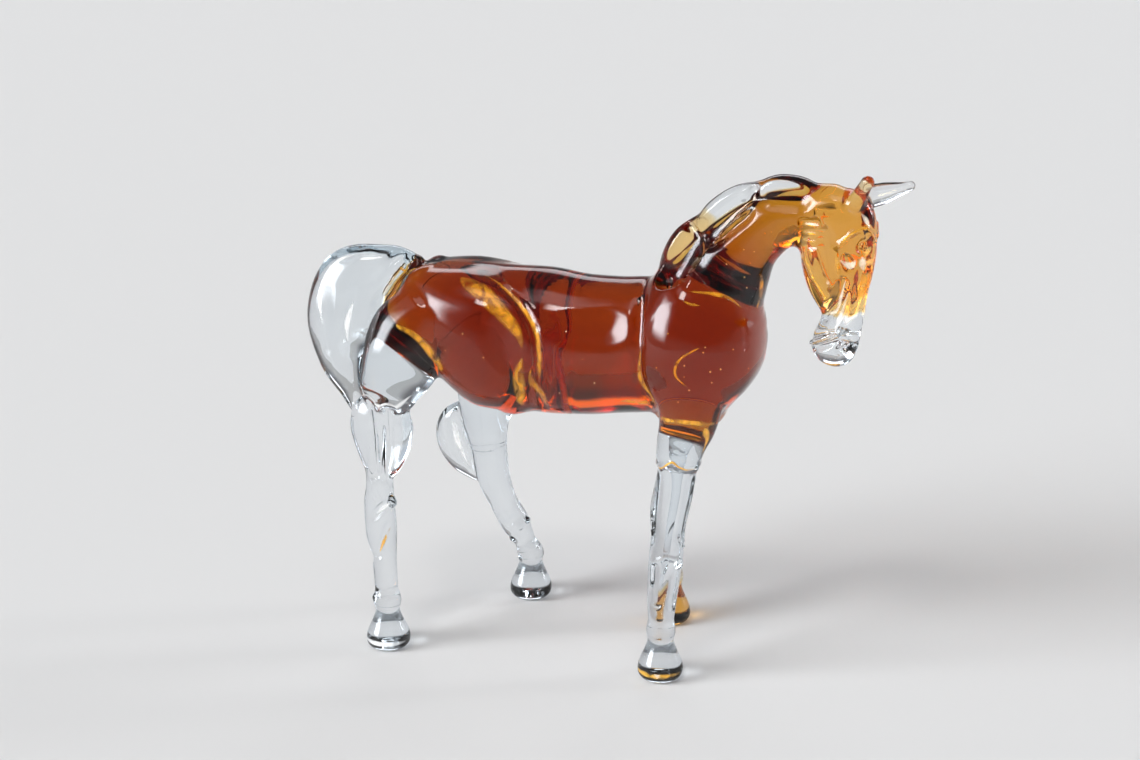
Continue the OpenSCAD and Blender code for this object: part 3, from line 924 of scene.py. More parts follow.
@dataclass
class Tail:
    """A clear drop that springs from the croup and comes down to a thin tip at the leg."""

    def gathers(self) -> list[Gather]:
        """The tail's one gather."""
        return [
            Gather(
                "tail",
                Glass.CLEAR,
                (
                    (-27.2, 0, 56.6, 2.2, 2.0), (-31, -0.4, 56.0, 4.2, 3.2), (-35.8, -1.4, 53.2, 7.0, 4.3),
                    (-38.2, -2.8, 48.3, 6.3, 4.3), (-38.0, -4.6, 42.8, 3.8, 3.2), (-35.9, -6.4, 38.4, 1.8, 1.9),
                    (-34.2, -7.6, 35.6, 0.9, 1.0),
                ),
                dome=(1.4, 1.0),
                fillet=0.5,
            ),
        ]

    def strokes(self) -> list[Stroke]:
        """Creases round the dock, and the long hollows of the drop."""
        creases = [
            *along(
                press,
                ((-27.4, -1.9, 58.6), (-28.9, -3.6, 56.8), (-30.4, -4.6, 54.2), (-31.6, -4.9, 52.0)),
                0.7,
                soft=0.3,
            ),
            *along(press, ((-29.2, -1.8, 59.5), (-31.0, -3.9, 57.6), (-32.3, -4.9, 55.2)), 0.5, soft=0.3),
            *along(ridge, ((-28.3, -2.3, 57.6), (-29.6, -3.4, 55.8), (-31.0, -4.2, 53.4)), 0.4, soft=0.25),
            press((-34.9, -11.0, 52.4), (-36.2, -12.2, 44.6), 4.6, soft=1.0),
            press((-40.6, -9.0, 54.0), (-40.0, -10.2, 46.0), 3.0, soft=1.0),
        ]
        left = [
            *along(
                press,
                ((-27.4, 1.9, 58.6), (-28.9, 3.4, 56.8), (-30.6, 3.9, 54.0), (-31.9, 3.4, 51.8)),
                0.7,
                soft=0.3,
            ),
            press((-36.0, 6.4, 53.4), (-38.0, 4.6, 45.6), 3.4, soft=1.2),
        ]
        return creases + left

    def films(self) -> list["CaughtLight"]:
        """The orange threads that the amber of the croup draws out into the dock, shown as painted golden glows, and
        two painted highlights down the drop.
        """
        back = (
            (-36.0, -3.2, 59.4), (-38.9, -3.9, 57.8), (-40.6, -4.6, 55.2), (-41.2, -5.6, 52.0), (-40.4, -6.5, 48.2),
        )
        heart = ((-35.3, -6.6, 52.4), (-35.9, -6.9, 50.2), (-36.2, -7.1, 48.2), (-36.0, -7.3, 46.0))
        paths = (
            ((-26.2, -2.4, 57.9), (-27.4, -2.6, 57.4), (-28.4, -3.0, 56.6)),
            ((-27.6, -3.4, 56.4), (-28.6, -3.8, 55.4), (-29.4, -4.2, 54.2)),
            ((-29.0, -4.0, 54.2), (-30.0, -4.4, 52.9), (-30.8, -4.6, 51.6)),
        )
        return [CaughtLight(f"dock_{i}", "tail", path, (0.15, 0.55, 0.12), 0.4) for i, path in enumerate(paths)] + [
            CaughtLight("tail_back", "tail", back, (0.1, 0.45, 0.6, 0.5, 0.1), 0.5, True),
            CaughtLight("tail_heart", "tail", heart, (0.1, 0.5, 0.45, 0.1), 0.6, True),
        ]


@dataclass
class HindLeg:
    """Thigh, gaskin, shank and hoof of one hind leg, all in clear glass."""

    side: Side
    hoof_place: tuple[float, float]

    def gathers(self) -> list[Gather]:
        """The leg's gathers from the trunk down."""
        return self.right() if self.side is Side.RIGHT else self.left()

    def right(self) -> list[Gather]:
        """The right leg stands back and straight."""
        x, y = self.hoof_place
        return [
            Gather(
                "thigh_right",
                Glass.CLEAR,
                (
                    (-22.8, -5.6, 51.5, 5.6, 4.6), (-26.2, -6.8, 47.4, 6.5, 5.4), (-27.9, -7.8, 43, 6.0, 5.2),
                    (-28.9, -8.6, 39.6, 4.5, 4.2),
                ),
                dome=(2.0, 3.4),
                fillet=1.0,
            ),
            Gather(
                "hind_shank_right",
                Glass.CLEAR,
                (
                    (-29.6, -8.6, 39.0, 2.1, 2.2),
                    (-29.8, -9.2, 33.0, 2.0, 2.2),
                    (-30.2, -9.7, 27.2, 2.1, 2.2),
                    (-30.3, -10.1, 22.8, 2.45, 2.4),
                    (-29.9, -10.5, 17.8, 2.5, 2.4),
                    (-29.2, -11.2, 13.0, 1.95, 1.95),
                    (x, y, 7.0, 1.85, 1.85),
                ),
                dome=(1.0, 0.0),
                standing=True,
                fillet=0.5,
            ),
            Gather(
                "gaskin_right",
                Glass.CLEAR,
                (
                    (-29.4, -8.2, 38.0, 3.8, 2.0), (-30, -8.6, 35.2, 5.1, 2.4), (-29.9, -9.0, 31.8, 4.8, 2.4),
                    (-30.1, -9.4, 28.6, 3.5, 2.1), (-30.6, -9.7, 26.0, 2.0, 1.6),
                ),
                dome=(1.0, 1.6),
                fillet=0.35,
            ),
        ]

    def left(self) -> list[Gather]:
        """The left leg steps forward under the belly."""
        x, y = self.hoof_place
        return [
            Gather(
                "thigh_left",
                Glass.CLEAR,
                (
                    (-17.4, 6.0, 45.5, 5.4, 4.4), (-18.5, 7.0, 40.4, 5.1, 4.5), (-19.4, 7.8, 35.2, 4.8, 4.1),
                    (-19.9, 8.6, 30.6, 3.9, 3.4), (-19.8, 9.2, 26.8, 3.0, 2.8),
                ),
                dome=(2.0, 2.0),
                fillet=1.0,
            ),
            Gather(
                "hind_shank_left",
                Glass.CLEAR,
                (
                    (-19.7, 9.1, 27.4, 2.9, 2.7),
                    (-19.3, 9.8, 21.0, 2.7, 2.5),
                    (-17.9, 10.5, 16.4, 2.35, 2.2),
                    (-16.2, 11.2, 12.8, 2.55, 2.3),
                    (-14.8, 11.8, 9.6, 1.9, 1.9),
                    (x, y, 7.0, 1.85, 1.85),
                ),
                dome=(1.0, 0.0),
                standing=True,
                fillet=0.5,
            ),
            Gather(
                "gaskin_left",
                Glass.CLEAR,
                (
                    (-23.6, 8.4, 32.2, 1.5, 1.4), (-25.2, 8.7, 29.8, 2.6, 2.1), (-25.5, 9.0, 26.7, 3.0, 2.3),
                    (-24.0, 9.5, 23.2, 2.5, 2.0), (-22.0, 9.9, 20.6, 1.2, 1.2),
                ),
                dome=(1.0, 0.8),
                fillet=0.35,
            ),
        ]

    def hoof(self) -> Hoof:
        """The leg's hoof."""
        return Hoof(f"hind_hoof_{self.side.word}", Glass.CLEAR, self.hoof_place)

    def strokes(self) -> list[Stroke]:
        """Grooves between the lobes, pinches at the hock and fetlock, and the collar above the hoof."""
        x, y = self.hoof_place
        collar = [ridge((x - 0.1, y, 7.5), (x + 0.1, y, 7.5), 2.0, soft=0.6)]
        if self.side is Side.RIGHT:
            return collar + [
                # the rod between the two lobes
                *along(press, ((-31.0, -11.4, 38.4), (-30.4, -11.9, 33.0), (-30.0, -12.1, 27.2)), 0.62, soft=0.2),
                *along(press, ((-27.9, -11.2, 37.6), (-27.8, -11.6, 32.0), (-28.3, -11.5, 26.6)), 0.62, soft=0.2),
                *along(press, ((-31.0, -6.0, 38.4), (-30.4, -6.4, 33.0), (-30.4, -7.0, 27.2)), 0.6, soft=0.2),
                # hock
                press((-30.2, -13.0, 21.0), (-28.0, -11.7, 23.2), 0.5, soft=0.2),
                ridge((-28.1, -10.7, 23.4), (-27.9, -10.6, 22.8), 0.75, soft=0.3),
                *along(press, ((-29.5, -13.4, 14.8), (-28.6, -13.0, 17.2), (-27.8, -12.1, 19.6)), 0.5, soft=0.2),
                press((-32.2, -11.2, 15.6), (-31.4, -11.9, 14.2), 0.7, soft=0.4),
                press((-33.3, -11.2, 27.4), (-33.1, -11.4, 24.4), 0.9, soft=0.5),
                press((-27.4, -13.6, 13.2), (-27.6, -14.4, 9.6), 0.8, soft=0.4),
                # beads above the hoof
                ridge((-30.1, -13.2, 8.2), (-30.0, -13.2, 7.8), 0.55, soft=0.3),
                ridge((-27.2, -12.9, 8.2), (-27.1, -12.9, 7.8), 0.55, soft=0.3),
                ridge((-29.0, -10.5, 8.3), (-28.9, -10.5, 8.1), 0.6, soft=0.3),
            ]
        knobs = (
            (-13.9, 10.7, 13.6), (-16.2, 9.9, 10.4), (-14.8, 9.6, 12.7), (-13.3, 10.8, 9.2), (-15.0, 10.7, 6.9),
            (-12.8, 11.0, 6.9), (-15.9, 12.9, 11.0), (-13.9, 13.3, 9.0),
        )
        return collar + [
            *along(press, ((-24.0, 6.4, 30.8), (-23.5, 6.7, 27.0), (-22.5, 7.6, 21.6)), 0.6, soft=0.2),
            *along(press, ((-23.2, 11.3, 31.0), (-22.9, 11.9, 27.0), (-21.6, 12.4, 21.6)), 0.6, soft=0.2),
            press((-25.6, 5.4, 29.2), (-25.8, 5.7, 25.4), 1.3, soft=0.3),
            press((-15.2, 9.2, 29.6), (-15.6, 9.6, 26.8), 1.1, soft=0.5),
            press((-15.7, 7.2, 22.6), (-14.6, 7.9, 17.4), 1.2, soft=0.4),
            *along(press, ((-17.8, 8.2, 11.9), (-15.4, 8.6, 14.1), (-13.4, 9.8, 15.0)), 0.5, soft=0.2),
            *(ridge(k, (k[0] + 0.05, k[1], k[2] - 0.05), 0.62, soft=0.2) for k in knobs),
        ]

    def films(self) -> list["CaughtLight"]:
        """Painted highlights and a painted golden glow: in the creases of the hock, round the foot of the thigh,
        along the left gaskin's seam and round the front of the hoof.
        """
        if self.side is Side.LEFT:
            lens = (
                (-24.6, 6.8, 30.4), (-24.4, 6.8, 29.2), (-23.9, 7.0, 27.2), (-23.3, 7.6, 24.4), (-22.6, 8.2, 21.8),
            )
            return [CaughtLight("gaskin_seam", "gaskin_left", lens, (0.25, 0.8, 0.5, 0.25, 0.06), 0.35, True)]
        crease = ((-30.0, -12.5, 21.2), (-29.0, -12.0, 22.2), (-28.1, -11.1, 22.9))
        pinch = ((-29.4, -12.8, 15.2), (-28.7, -12.4, 17.2), (-27.9, -11.7, 19.1))
        foot = (
            (-32.0, -10.2, 40.6), (-30.6, -11.4, 39.0), (-28.6, -11.6, 38.2), (-26.6, -11.0, 38.6),
            (-25.0, -9.8, 40.4),
        )
        return [
            CaughtLight("hock_crease", "hind_shank_right", crease, (0.08, 0.34, 0.12), 0.2, True),
            CaughtLight("hock_pinch", "hind_shank_right", pinch, (0.06, 0.28, 0.08), 0.2),
            CaughtLight("thigh_foot", "thigh_right", foot, (0.15, 0.7, 1.0, 0.7, 0.15), 0.5, True),
            CaughtLight(
                "hoof_rim_hind",
                "hind_hoof_right",
                self.hoof().front_rim(1.35),
                (0.12, 0.45, 0.5, 0.45, 0.12),
                0.35,
                True,
            ),
        ]


@dataclass
class ForeLeg:
    """Forearm, shank and hoof of one fore leg."""

    side: Side
    hoof_place: tuple[float, float]

    def gathers(self) -> list[Gather]:
        """The leg's gathers from the chest down."""
        x, y = self.hoof_place
        if self.side is Side.RIGHT:
            arm = (
                (17.0, -5.6, 46.0, 5.2, 4.4), (16.9, -6.2, 42.5, 4.9, 4.3), (16.6, -6.7, 39.0, 4.3, 4.0),
                (15.8, -7.1, 35.8, 3.6, 3.5), (15.3, -7.4, 32.6, 3.15, 3.1),
            )
            shank = (
                (15.4, -7.4, 34, 3.05, 3.0),
                (15.2, -7.8, 28.6, 2.75, 2.75),
                (14.6, -8.2, 23.6, 2.5, 2.5),
                (14.2, -8.6, 18.6, 2.6, 2.6),
                (13.9, -9.2, 12.8, 2.3, 2.3),
                (x, y, 7.0, 1.85, 1.85),
            )
        else:
            arm = (
                (16.0, 5.6, 46.0, 5.2, 4.4), (15.8, 6.2, 42.5, 4.9, 4.3), (15.1, 6.7, 39.0, 4.3, 4.0),
                (13.8, 7.1, 35.8, 3.6, 3.5), (12.8, 7.5, 32.6, 3.15, 3.1),
            )
            shank = (
                (13.2, 7.4, 34, 3.05, 3.0),
                (11.6, 7.8, 28.6, 2.75, 2.75),
                (10.3, 8.4, 23.6, 2.5, 2.5),
                (9.5, 8.9, 18.6, 2.7, 2.6),
                (9.5, 9.4, 12.8, 2.3, 2.3),
                (x, y, 7.0, 1.85, 1.85),
            )
        word = self.side.word
        return [
            Gather(f"forearm_{word}", Glass.CLEAR, arm, dome=(1.0, 0.6), fillet=0.8),
            Gather(f"fore_shank_{word}", Glass.CLEAR, shank, dome=(1.0, 0.0), standing=True, fillet=0.3),
        ]

    def hoof(self) -> Hoof:
        """The leg's hoof; the left one is pale amber, a painted tint for the amber light that the body throws onto
        it.
        """
        # painted light: the left hoof's amber tint stands in for light coloured by the amber body
        glass = Glass.CLEAR if self.side is Side.RIGHT else Glass.PALE_AMBER
        return Hoof(f"fore_hoof_{self.side.word}", glass, self.hoof_place)

    def strokes(self) -> list[Stroke]:
        """The rolled foot of the forearm, the pinched knee, and the small beads down the leg."""
        x, y = self.hoof_place
        collar = [ridge((x - 0.1, y, 7.5), (x + 0.1, y, 7.5), 2.0, soft=0.6)]
        if self.side is Side.LEFT:
            return collar + [
                *along(
                    ridge,
                    ((10.6, 5.9, 33.0), (12.6, 4.4, 33.4), (15.0, 5.4, 33.2), (15.8, 7.8, 33.0)),
                    0.4,
                    soft=0.2,
                ),
                press((7.4, 10.8, 17.6), (8.9, 12.0, 12.0), 0.6, soft=0.2),
                press((11.6, 11.6, 17.4), (9.6, 12.3, 12.0), 0.6, soft=0.2),
                ridge((7.4, 9.6, 18.9), (7.3, 9.6, 18.5), 0.7, soft=0.3),
                press((8.2, 12.4, 30.6), (6.6, 12.6, 22.0), 1.6, soft=0.3),
            ]
        rolled = (
            (12.4, -7.2, 32.8), (13.6, -9.8, 32.9), (15.3, -10.35, 34.0), (16.3, -10.25, 33.4), (17.2, -9.8, 33.0),
            (18.3, -8.3, 32.8), (18.2, -6.2, 33.0), (15.4, -4.6, 33.2), (12.9, -5.6, 33.1), (12.4, -7.2, 32.8),
        )
        return collar + [
            *along(ridge, rolled, 0.4, soft=0.15),
            # long facets of the shank
            press((19.5, -10.0, 30.6), (18.6, -9.8, 22.8), 2.2, soft=0.2),
            press((12.3, -10.7, 31.2), (11.9, -11.2, 22.2), 1.6, soft=0.2),
            press((15.9, -12.3, 31.0), (15.4, -12.6, 21.6), 1.6, soft=0.2),
            # the V below the knee, the arc over it and the line beside it
            press((13.0, -11.3, 17.9), (13.4, -11.8, 12.4), 0.5, soft=0.15),
            press((15.9, -11.0, 18.2), (13.8, -11.9, 12.2), 0.58, soft=0.15),
            press((17.2, -10.0, 16.0), (16.1, -10.7, 11.4), 0.58, soft=0.15),
            press((14.7, -11.7, 16.6), (14.9, -11.6, 15.4), 0.5, soft=0.15),
            *along(
                ridge,
                ((12.9, -10.7, 18.6), (14.0, -11.0, 19.1), (14.9, -10.85, 19.6), (15.9, -10.3, 19.2)),
                0.36,
                soft=0.15,
            ),
            ridge((16.5, -9.7, 18.6), (16.4, -9.6, 18.2), 0.68, soft=0.25),
            press((11.6, -7.4, 17.2), (11.4, -8.0, 15.0), 0.8, soft=0.4),
            *along(press, ((17.2, -8.2, 12.4), (16.6, -8.9, 9.4)), 0.6, soft=0.3),
            # beads on both edges
            *(
                ridge(
                    (12.8 - 0.06 * i, -8.3 - 0.08 * i, 31.2 - 1.05 * i),
                    (12.8 - 0.06 * i, -8.3 - 0.08 * i, 31.0 - 1.05 * i),
                    0.3 + 0.05 * (i % 3),
                    soft=0.15,
                )
                for i in range(10)
            ),
            *(
                ridge((16.9, -8.6 - 0.05 * i, 22.6 - 0.9 * i), (16.9, -8.6, 22.4 - 0.9 * i), 0.3, soft=0.15)
                for i in range(3)
            ),
        ]

    def films(self) -> list["CaughtLight"]:
        """A painted golden glow where the amber of the chest ends on the leg; on the right leg, more painted glows
        along the forearm's edge and rolled foot and round the front of the hoof.
        """
        if self.side is Side.RIGHT:
            path = (
                (12.6, -7.4, 40.0), (13.1, -8.9, 40.0), (15.7, -10.5, 40.3), (17.9, -10.5, 40.3), (19.9, -9.5, 40.0),
                (20.9, -7.6, 39.6),
            )
        else:
            path = (
                (11.6, 7.4, 40.0), (12.4, 9.2, 40.0), (14.7, 10.5, 40.3), (16.9, 10.4, 40.3), (18.9, 9.3, 40.0),
                (19.7, 7.4, 39.6),
            )
        word = self.side.word
        found = [CaughtLight(f"collar_{word}", "chest", path, (0.12, 0.36, 0.4, 0.4, 0.45, 0.2), 0.25)]
        if self.side is Side.RIGHT:
            edge = (
                (20.0, -9.2, 39.4), (20.1, -9.0, 38.6), (20.2, -8.2, 37.3), (19.7, -7.8, 36.0), (19.1, -7.3, 34.6),
            )
            wave = (
                (12.9, -9.0, 32.9), (13.7, -10.0, 32.9), (15.3, -10.5, 34.1), (16.3, -10.4, 33.5), (17.3, -9.9, 33.0),
                (18.4, -8.4, 32.8),
            )
            found += [
                CaughtLight("leg_edge", "forearm_right", edge, (0.12, 0.7, 0.5, 0.3, 0.06), 0.5),
                CaughtLight("leg_wave", "forearm_right", wave, (0.06, 0.2, 0.26, 0.26, 0.26, 0.08), 0.2),
                CaughtLight(
                    "hoof_rim_fore",
                    "fore_hoof_right",
                    self.hoof().front_rim(1.35),
                    (0.12, 0.5, 0.55, 0.5, 0.12),
                    0.35,
                ),
            ]
        return found


# ---- Melting the gathers together and parting them again ----


@dataclass
class Piece:
    """One gather's own glass: where it lies in the block and its own distances."""

    name: str
    glass: Glass
    low: np.ndarray
    own: np.ndarray


@dataclass
class Furnace:
    """Melts every gather into one skin and parts it along the joints."""

    fore_joint_z: float = 40.1
    thigh_ball_place: Place = (-43.6, -8.0, 33.2)
    thigh_ball_radius: float = 25.0
    ripple_depth: float = 0.2
    ripple_spacing: float = 3.2
    true_below: float = 0.9
    block: VoxelBlock | None = None
    pieces: list[Piece] = field(default_factory=list)

    ORDER = (
        "chest", "barrel", "haunch_right", "haunch_left", "skull", "neck", "muzzle", "ear_right", "ear_left",
        "mane_lower", "mane_middle", "mane_upper", "thigh_right", "thigh_left", "forearm_right", "forearm_left",
        "hind_hoof_right", "hind_hoof_left", "fore_hoof_right", "fore_hoof_left", "hind_shank_right",
        "hind_shank_left", "fore_shank_right", "fore_shank_left", "gaskin_right", "gaskin_left", "tail",
    )

    def melt_all(self, shapes: list[Gather | Hoof], strokes: list[Stroke]) -> None:
        """Melts the gathers into the block's skin and works the tool strokes into it.

        Args:
            shapes: Every gather and hoof.
            strokes: Every tool mark.
        """
        by_name = {s.name: s for s in shapes}
        sets = {name: level_set(*by_name[name].surface()) for name in self.ORDER}
        lows = np.array([low for low, _ in sets.values()])
        highs = np.array([low + np.array(v.shape) - 1 for low, v in sets.values()])
        self.block = VoxelBlock(lows.min(axis=0), highs.max(axis=0))
        for name in self.ORDER:
            low, own = sets[name]
            window = self.block.window(low, own.shape)
            skin = self.block.values[window]
            self.block.values[window] = melt(skin, own, by_name[name].fillet)
        for stroke in strokes:
            stroke.apply(self.block)
        self.block.soften()
        self.block.ripple(self.ripple_depth, self.ripple_spacing, self.true_below)
        self.claim(sets, {n: s.glass for n, s in by_name.items()})

    def claim(self, sets: dict[str, tuple[np.ndarray, np.ndarray]], glasses: dict[str, Glass]) -> None:
        """Settles which gather each voxel belongs to, earlier gathers first.

        Args:
            sets: Each gather's lowest voxel and distances.
            glasses: Each gather's glass.
        """
        block = self.block
        taken = np.full(block.values.shape, BAND, dtype=np.float32)
        for name in self.ORDER:
            low, own = sets[name]
            own = own.copy()
            window = block.window(low, own.shape)
            x, y, z = block.axes_at(low, own.shape)
            if name == "chest":
                for arm in ("forearm_right", "forearm_left"):
                    own = self.joined(low, own, sets[arm], self.fore_joint_z)
            if name == "haunch_right":
                own = self.with_thigh_top(low, own, sets["thigh_right"])
            if name == "thigh_right":
                own = np.maximum(own, self.ball(x, y, z))
            if name.startswith("forearm"):
                own = np.maximum(own, z - self.fore_joint_z)
            own = np.maximum(own, -taken[window])
            taken[window] = np.minimum(taken[window], own)
            self.pieces.append(Piece(name, glasses[name], low, own))

    def ball(self, x: np.ndarray, y: np.ndarray, z: np.ndarray) -> np.ndarray:
        """Distance to the ball that bounds the clear part of the right thigh."""
        p = to_row([self.thigh_ball_place])[0]
        away = np.sqrt((x - p[0]) ** 2 + (y - p[1]) ** 2 + (z - p[2]) ** 2)
        return np.clip(away - self.thigh_ball_radius, -BAND, BAND)

    def joined(
        self, low: np.ndarray, own: np.ndarray, other: tuple[np.ndarray, np.ndarray], floor_z: float
    ) -> np.ndarray:
        """The chest's field with the part of a forearm above the joint added."""
        start, extra = other
        z = self.block.axes_at(start, extra.shape)[2]
        return self.overlay(low, own, start, np.maximum(extra, np.clip(floor_z - z, -BAND, BAND)))

    def with_thigh_top(
        self, low: np.ndarray, own: np.ndarray, thigh: tuple[np.ndarray, np.ndarray]
    ) -> np.ndarray:
        """The right haunch's field with the amber top of its thigh added."""
        start, extra = thigh
        axes = self.block.axes_at(start, extra.shape)
        return self.overlay(low, own, start, np.maximum(extra, -self.ball(*axes)))

    @staticmethod
    def overlay(low: np.ndarray, own: np.ndarray, start: np.ndarray, extra: np.ndarray) -> np.ndarray:
        """Unites two boxes of distances where they overlap, within the first one's box."""
        a = np.maximum(low, start)
        b = np.minimum(low + np.array(own.shape), start + np.array(extra.shape))
        mine = tuple(slice(int(p), int(q)) for p, q in zip(a - low, b - low))
        theirs = tuple(slice(int(p), int(q)) for p, q in zip(a - start, b - start))
        own[mine] = np.minimum(own[mine], extra[theirs])
        return own

    def rivals(self) -> tuple[np.ndarray, np.ndarray, np.ndarray]:
        """The nearest and second nearest gather's distance in each voxel, and whose the nearest is."""
        shape = self.block.values.shape
        first = np.full(shape, 4 * BAND, dtype=np.float32)
        second = first.copy()
        owner = np.full(shape, -1, dtype=np.int8)
        for i, piece in enumerate(self.pieces):
            window = self.block.window(piece.low, piece.own.shape)
            f, s, o = first[window], second[window], owner[window]
            wins = piece.own < f
            second[window] = np.where(wins, f, np.minimum(s, piece.own))
            first[window] = np.where(wins, piece.own, f)
            owner[window] = np.where(wins, np.int8(i), o)
        return first, second, owner

    def cutters(self) -> list[tuple[Piece, np.ndarray, np.ndarray]]:
        """A closed surface round each gather's share of the block.

        Returns:
            (piece, points, quads) for each gather.
        """
        first, second, owner = self.rivals()
        out = []
        for i, piece in enumerate(self.pieces):
            window = self.block.window(piece.low, piece.own.shape)
            others = np.where(owner[window] == i, second[window], first[window])
            share = piece.own - others
            share = np.where(piece.own > 0.95 * BAND, BAND, share)
            share = np.maximum(share, self.block.values[window] - 0.7 * BAND)
            for axis in range(3):
                edge = [slice(None)] * 3
                for end in (0, -1):
                    edge[axis] = end
                    share[tuple(edge)] = BAND
            points, quads = skin_of(piece.low, np.clip(share, -BAND, BAND), JOINT_OVERLAP)
            out.append((piece, points, quads))
        return out


def mesh_from(name: str, points: np.ndarray, quads: np.ndarray) -> bpy.types.Mesh:
    """A Blender mesh in metres from points in millimetres.

    Args:
        name: The mesh's name.
        points: (n, 3) vertices.
        quads: (m, k) vertex numbers.

    Returns:
        The mesh.
    """
    mesh = bpy.data.meshes.new(name)
    mesh.vertices.add(len(points))
    mesh.vertices.foreach_set("co", (points * MM).astype(np.float32).ravel())
    k = quads.shape[1]
    mesh.loops.add(quads.size)
    mesh.loops.foreach_set("vertex_index", quads.astype(np.int32).ravel())
    mesh.polygons.add(len(quads))
    mesh.polygons.foreach_set("loop_start", np.arange(0, quads.size, k, dtype=np.int32))
    mesh.update(calc_edges=True)
    mesh.validate()
    return mesh
def placed(name: str, mesh: bpy.types.Mesh) -> bpy.types.Object:
    """Puts a mesh into the scene as an object."""
    ob = bpy.data.objects.new(name, mesh)
    bpy.context.scene.collection.objects.link(ob)
    return ob


def read(items: bpy.types.bpy_prop_collection, name: str, width: int, kind: type = np.float32) -> np.ndarray:
    """One property of every vertex, corner or face of a mesh."""
    values = np.empty(len(items) * width, dtype=kind)
    items.foreach_get(name, values)
    return values.reshape(-1, width) if width > 1 else values

@dataclass
class Parting:
    """Parts the melted skin into closed pieces with exact shared joints."""

    furnace: Furnace
    skin: bpy.types.Object | None = None
    skin_depth: float = 0.06
    agreement: float = 0.6
    floor_height: float = 0.02

    def prepare(self) -> None:
        """Makes the whole figure's skin as one closed mesh."""
        block = self.furnace.block
        points, quads = skin_of(block.low, block.values, 0.0)
        low, high = np.array(CAD_BOX) / MM
        points = np.clip(block.settle(points), low + (BOX_INSET, BOX_INSET, 0.0), high - BOX_INSET)
        self.skin = placed("skin", mesh_from("skin", points, quads))
        log.info("skin: %d vertices, %d quads", len(points), len(quads))

    def part(self, piece: Piece, points: np.ndarray, quads: np.ndarray) -> bpy.types.Object:
        """Cuts one piece out of the skin.

        Args:
            piece: The gather to cut out.
            points: Its cutter's vertices.
            quads: Its cutter's faces.

        Returns:
            The piece's object, with the joint faces marked.
        """
        cutter = placed("cutter", mesh_from("cutter", points, quads))
        cut = self.skin.modifiers.new("cut", "BOOLEAN")
        cut.object, cut.operation, cut.solver = cutter, "INTERSECT", "MANIFOLD"
        bpy.context.view_layer.update()
        shape = self.skin.evaluated_get(bpy.context.evaluated_depsgraph_get())
        mesh = bpy.data.meshes.new_from_object(shape)
        self.skin.modifiers.remove(cut)
        bpy.data.meshes.remove(cutter.data)
        mesh.name = piece.name
        self.finish_mesh(mesh)
        return placed(f"glass_{piece.name}", mesh)

    def finish_mesh(self, mesh: bpy.types.Mesh) -> None:
        """Marks the joint faces and gives the outer skin the true normals of the melted surface."""
        block = self.furnace.block
        co = read(mesh.vertices, "co", 3).astype(float) / MM
        loops = read(mesh.loops, "vertex_index", 1, np.int32)
        totals = read(mesh.polygons, "loop_total", 1, np.int32)
        face_of = np.repeat(np.arange(len(totals)), totals)
        face_normal = read(mesh.polygons, "normal", 3)
        centre = read(mesh.polygons, "center", 3).astype(float) / MM
        deepest = np.full(len(totals), BAND)
        np.minimum.at(deepest, face_of, block.sample(co)[loops])
        near = (deepest > -self.skin_depth) & (np.abs(block.sample(centre)) < self.skin_depth)
        agrees = np.einsum("ij,ij->i", unit(block.slope(centre)), face_normal) > self.agreement
        under_hoof = (centre[:, 2] < self.floor_height) & (face_normal[:, 2] < -0.8)
        outer = (near & agrees) | under_hoof
        mask = mesh.attributes.new(JOINT_MASK, "FLOAT", "FACE")
        mask.data.foreach_set("value", (~outer).astype(np.float32))
        mesh.polygons.foreach_set("use_smooth", np.ones(len(totals), dtype=bool))
        split = np.where(outer[face_of][:, None], unit(block.slope(co))[loops], face_normal[face_of])
        mesh.normals_split_custom_set(split.astype(np.float32))
        mesh.update()


@dataclass(frozen=True)
class CaughtLight:
    """A thin film just under the skin, painted with a golden glow or a silvery highlight that stands in for the light
    a seam or hollow catches.

    The path's points lie on the skin, before the head is turned. There is a half width for each.
    """

    name: str
    node: str
    path: tuple[Place, ...]
    half_widths: tuple[float, ...]
    depth: float
    pale: bool = False
    turned: bool = False
    thickness: float = 0.12
    least_half_width: float = 0.03
    points_across: int = 7
    steps: int = 8

    def build(self, block: VoxelBlock, material: bpy.types.Material) -> bpy.types.Object:
        """Makes the film as a thin closed ribbon that follows the skin.

        Args:
            block: The melted figure.
            material: The film's finish.

        Returns:
            The film's object.
        """
        knots = block.settle(to_row(self.path, self.turned), 6)
        line = curve_through(np.hstack([knots, np.array(self.half_widths)[:, None]]), self.steps)
        centre = block.settle(line[:, :3], 4)
        ahead = unit(np.gradient(centre, axis=0))
        outward = unit(block.slope(centre))
        across = unit(np.cross(outward, ahead))
        places = np.linspace(-1, 1, self.points_across)
        sag = self.thickness * (1 - places[::-1, None] ** 2)
        rings = []
        for p, n, w, half in zip(centre, outward, across, np.maximum(line[:, 3], self.least_half_width)):
            top = block.settle(p + places[:, None] * half * w, 4)
            top -= self.depth * unit(block.slope(top))
            rings.append(np.vstack([top, (top[::-1] - n * sag)[1:-1]]))
        tips = [rings[0].mean(axis=0), rings[-1].mean(axis=0)]
        mesh = mesh_from(f"film_{self.name}", *closed_tube(rings, tips, None))
        shape = bmesh.new()
        shape.from_mesh(mesh)
        bmesh.ops.recalc_face_normals(shape, faces=shape.faces)
        shape.to_mesh(mesh)
        shape.free()
        mesh.polygons.foreach_set("use_smooth", np.ones(len(mesh.polygons), dtype=bool))
        wide = np.concatenate([places, places[::-1][1:-1]])
        long = np.sin(np.linspace(0, math.pi, len(rings))) ** 0.5
        fade = np.append((long[:, None] * (1 - wide**2)[None, :]).ravel(), [0.0, 0.0])
        mesh.attributes.new(FADE_MASK, "FLOAT", "POINT").data.foreach_set("value", fade.astype(np.float32))
        mesh.materials.append(material)
        return placed(f"film_{self.name}", mesh)


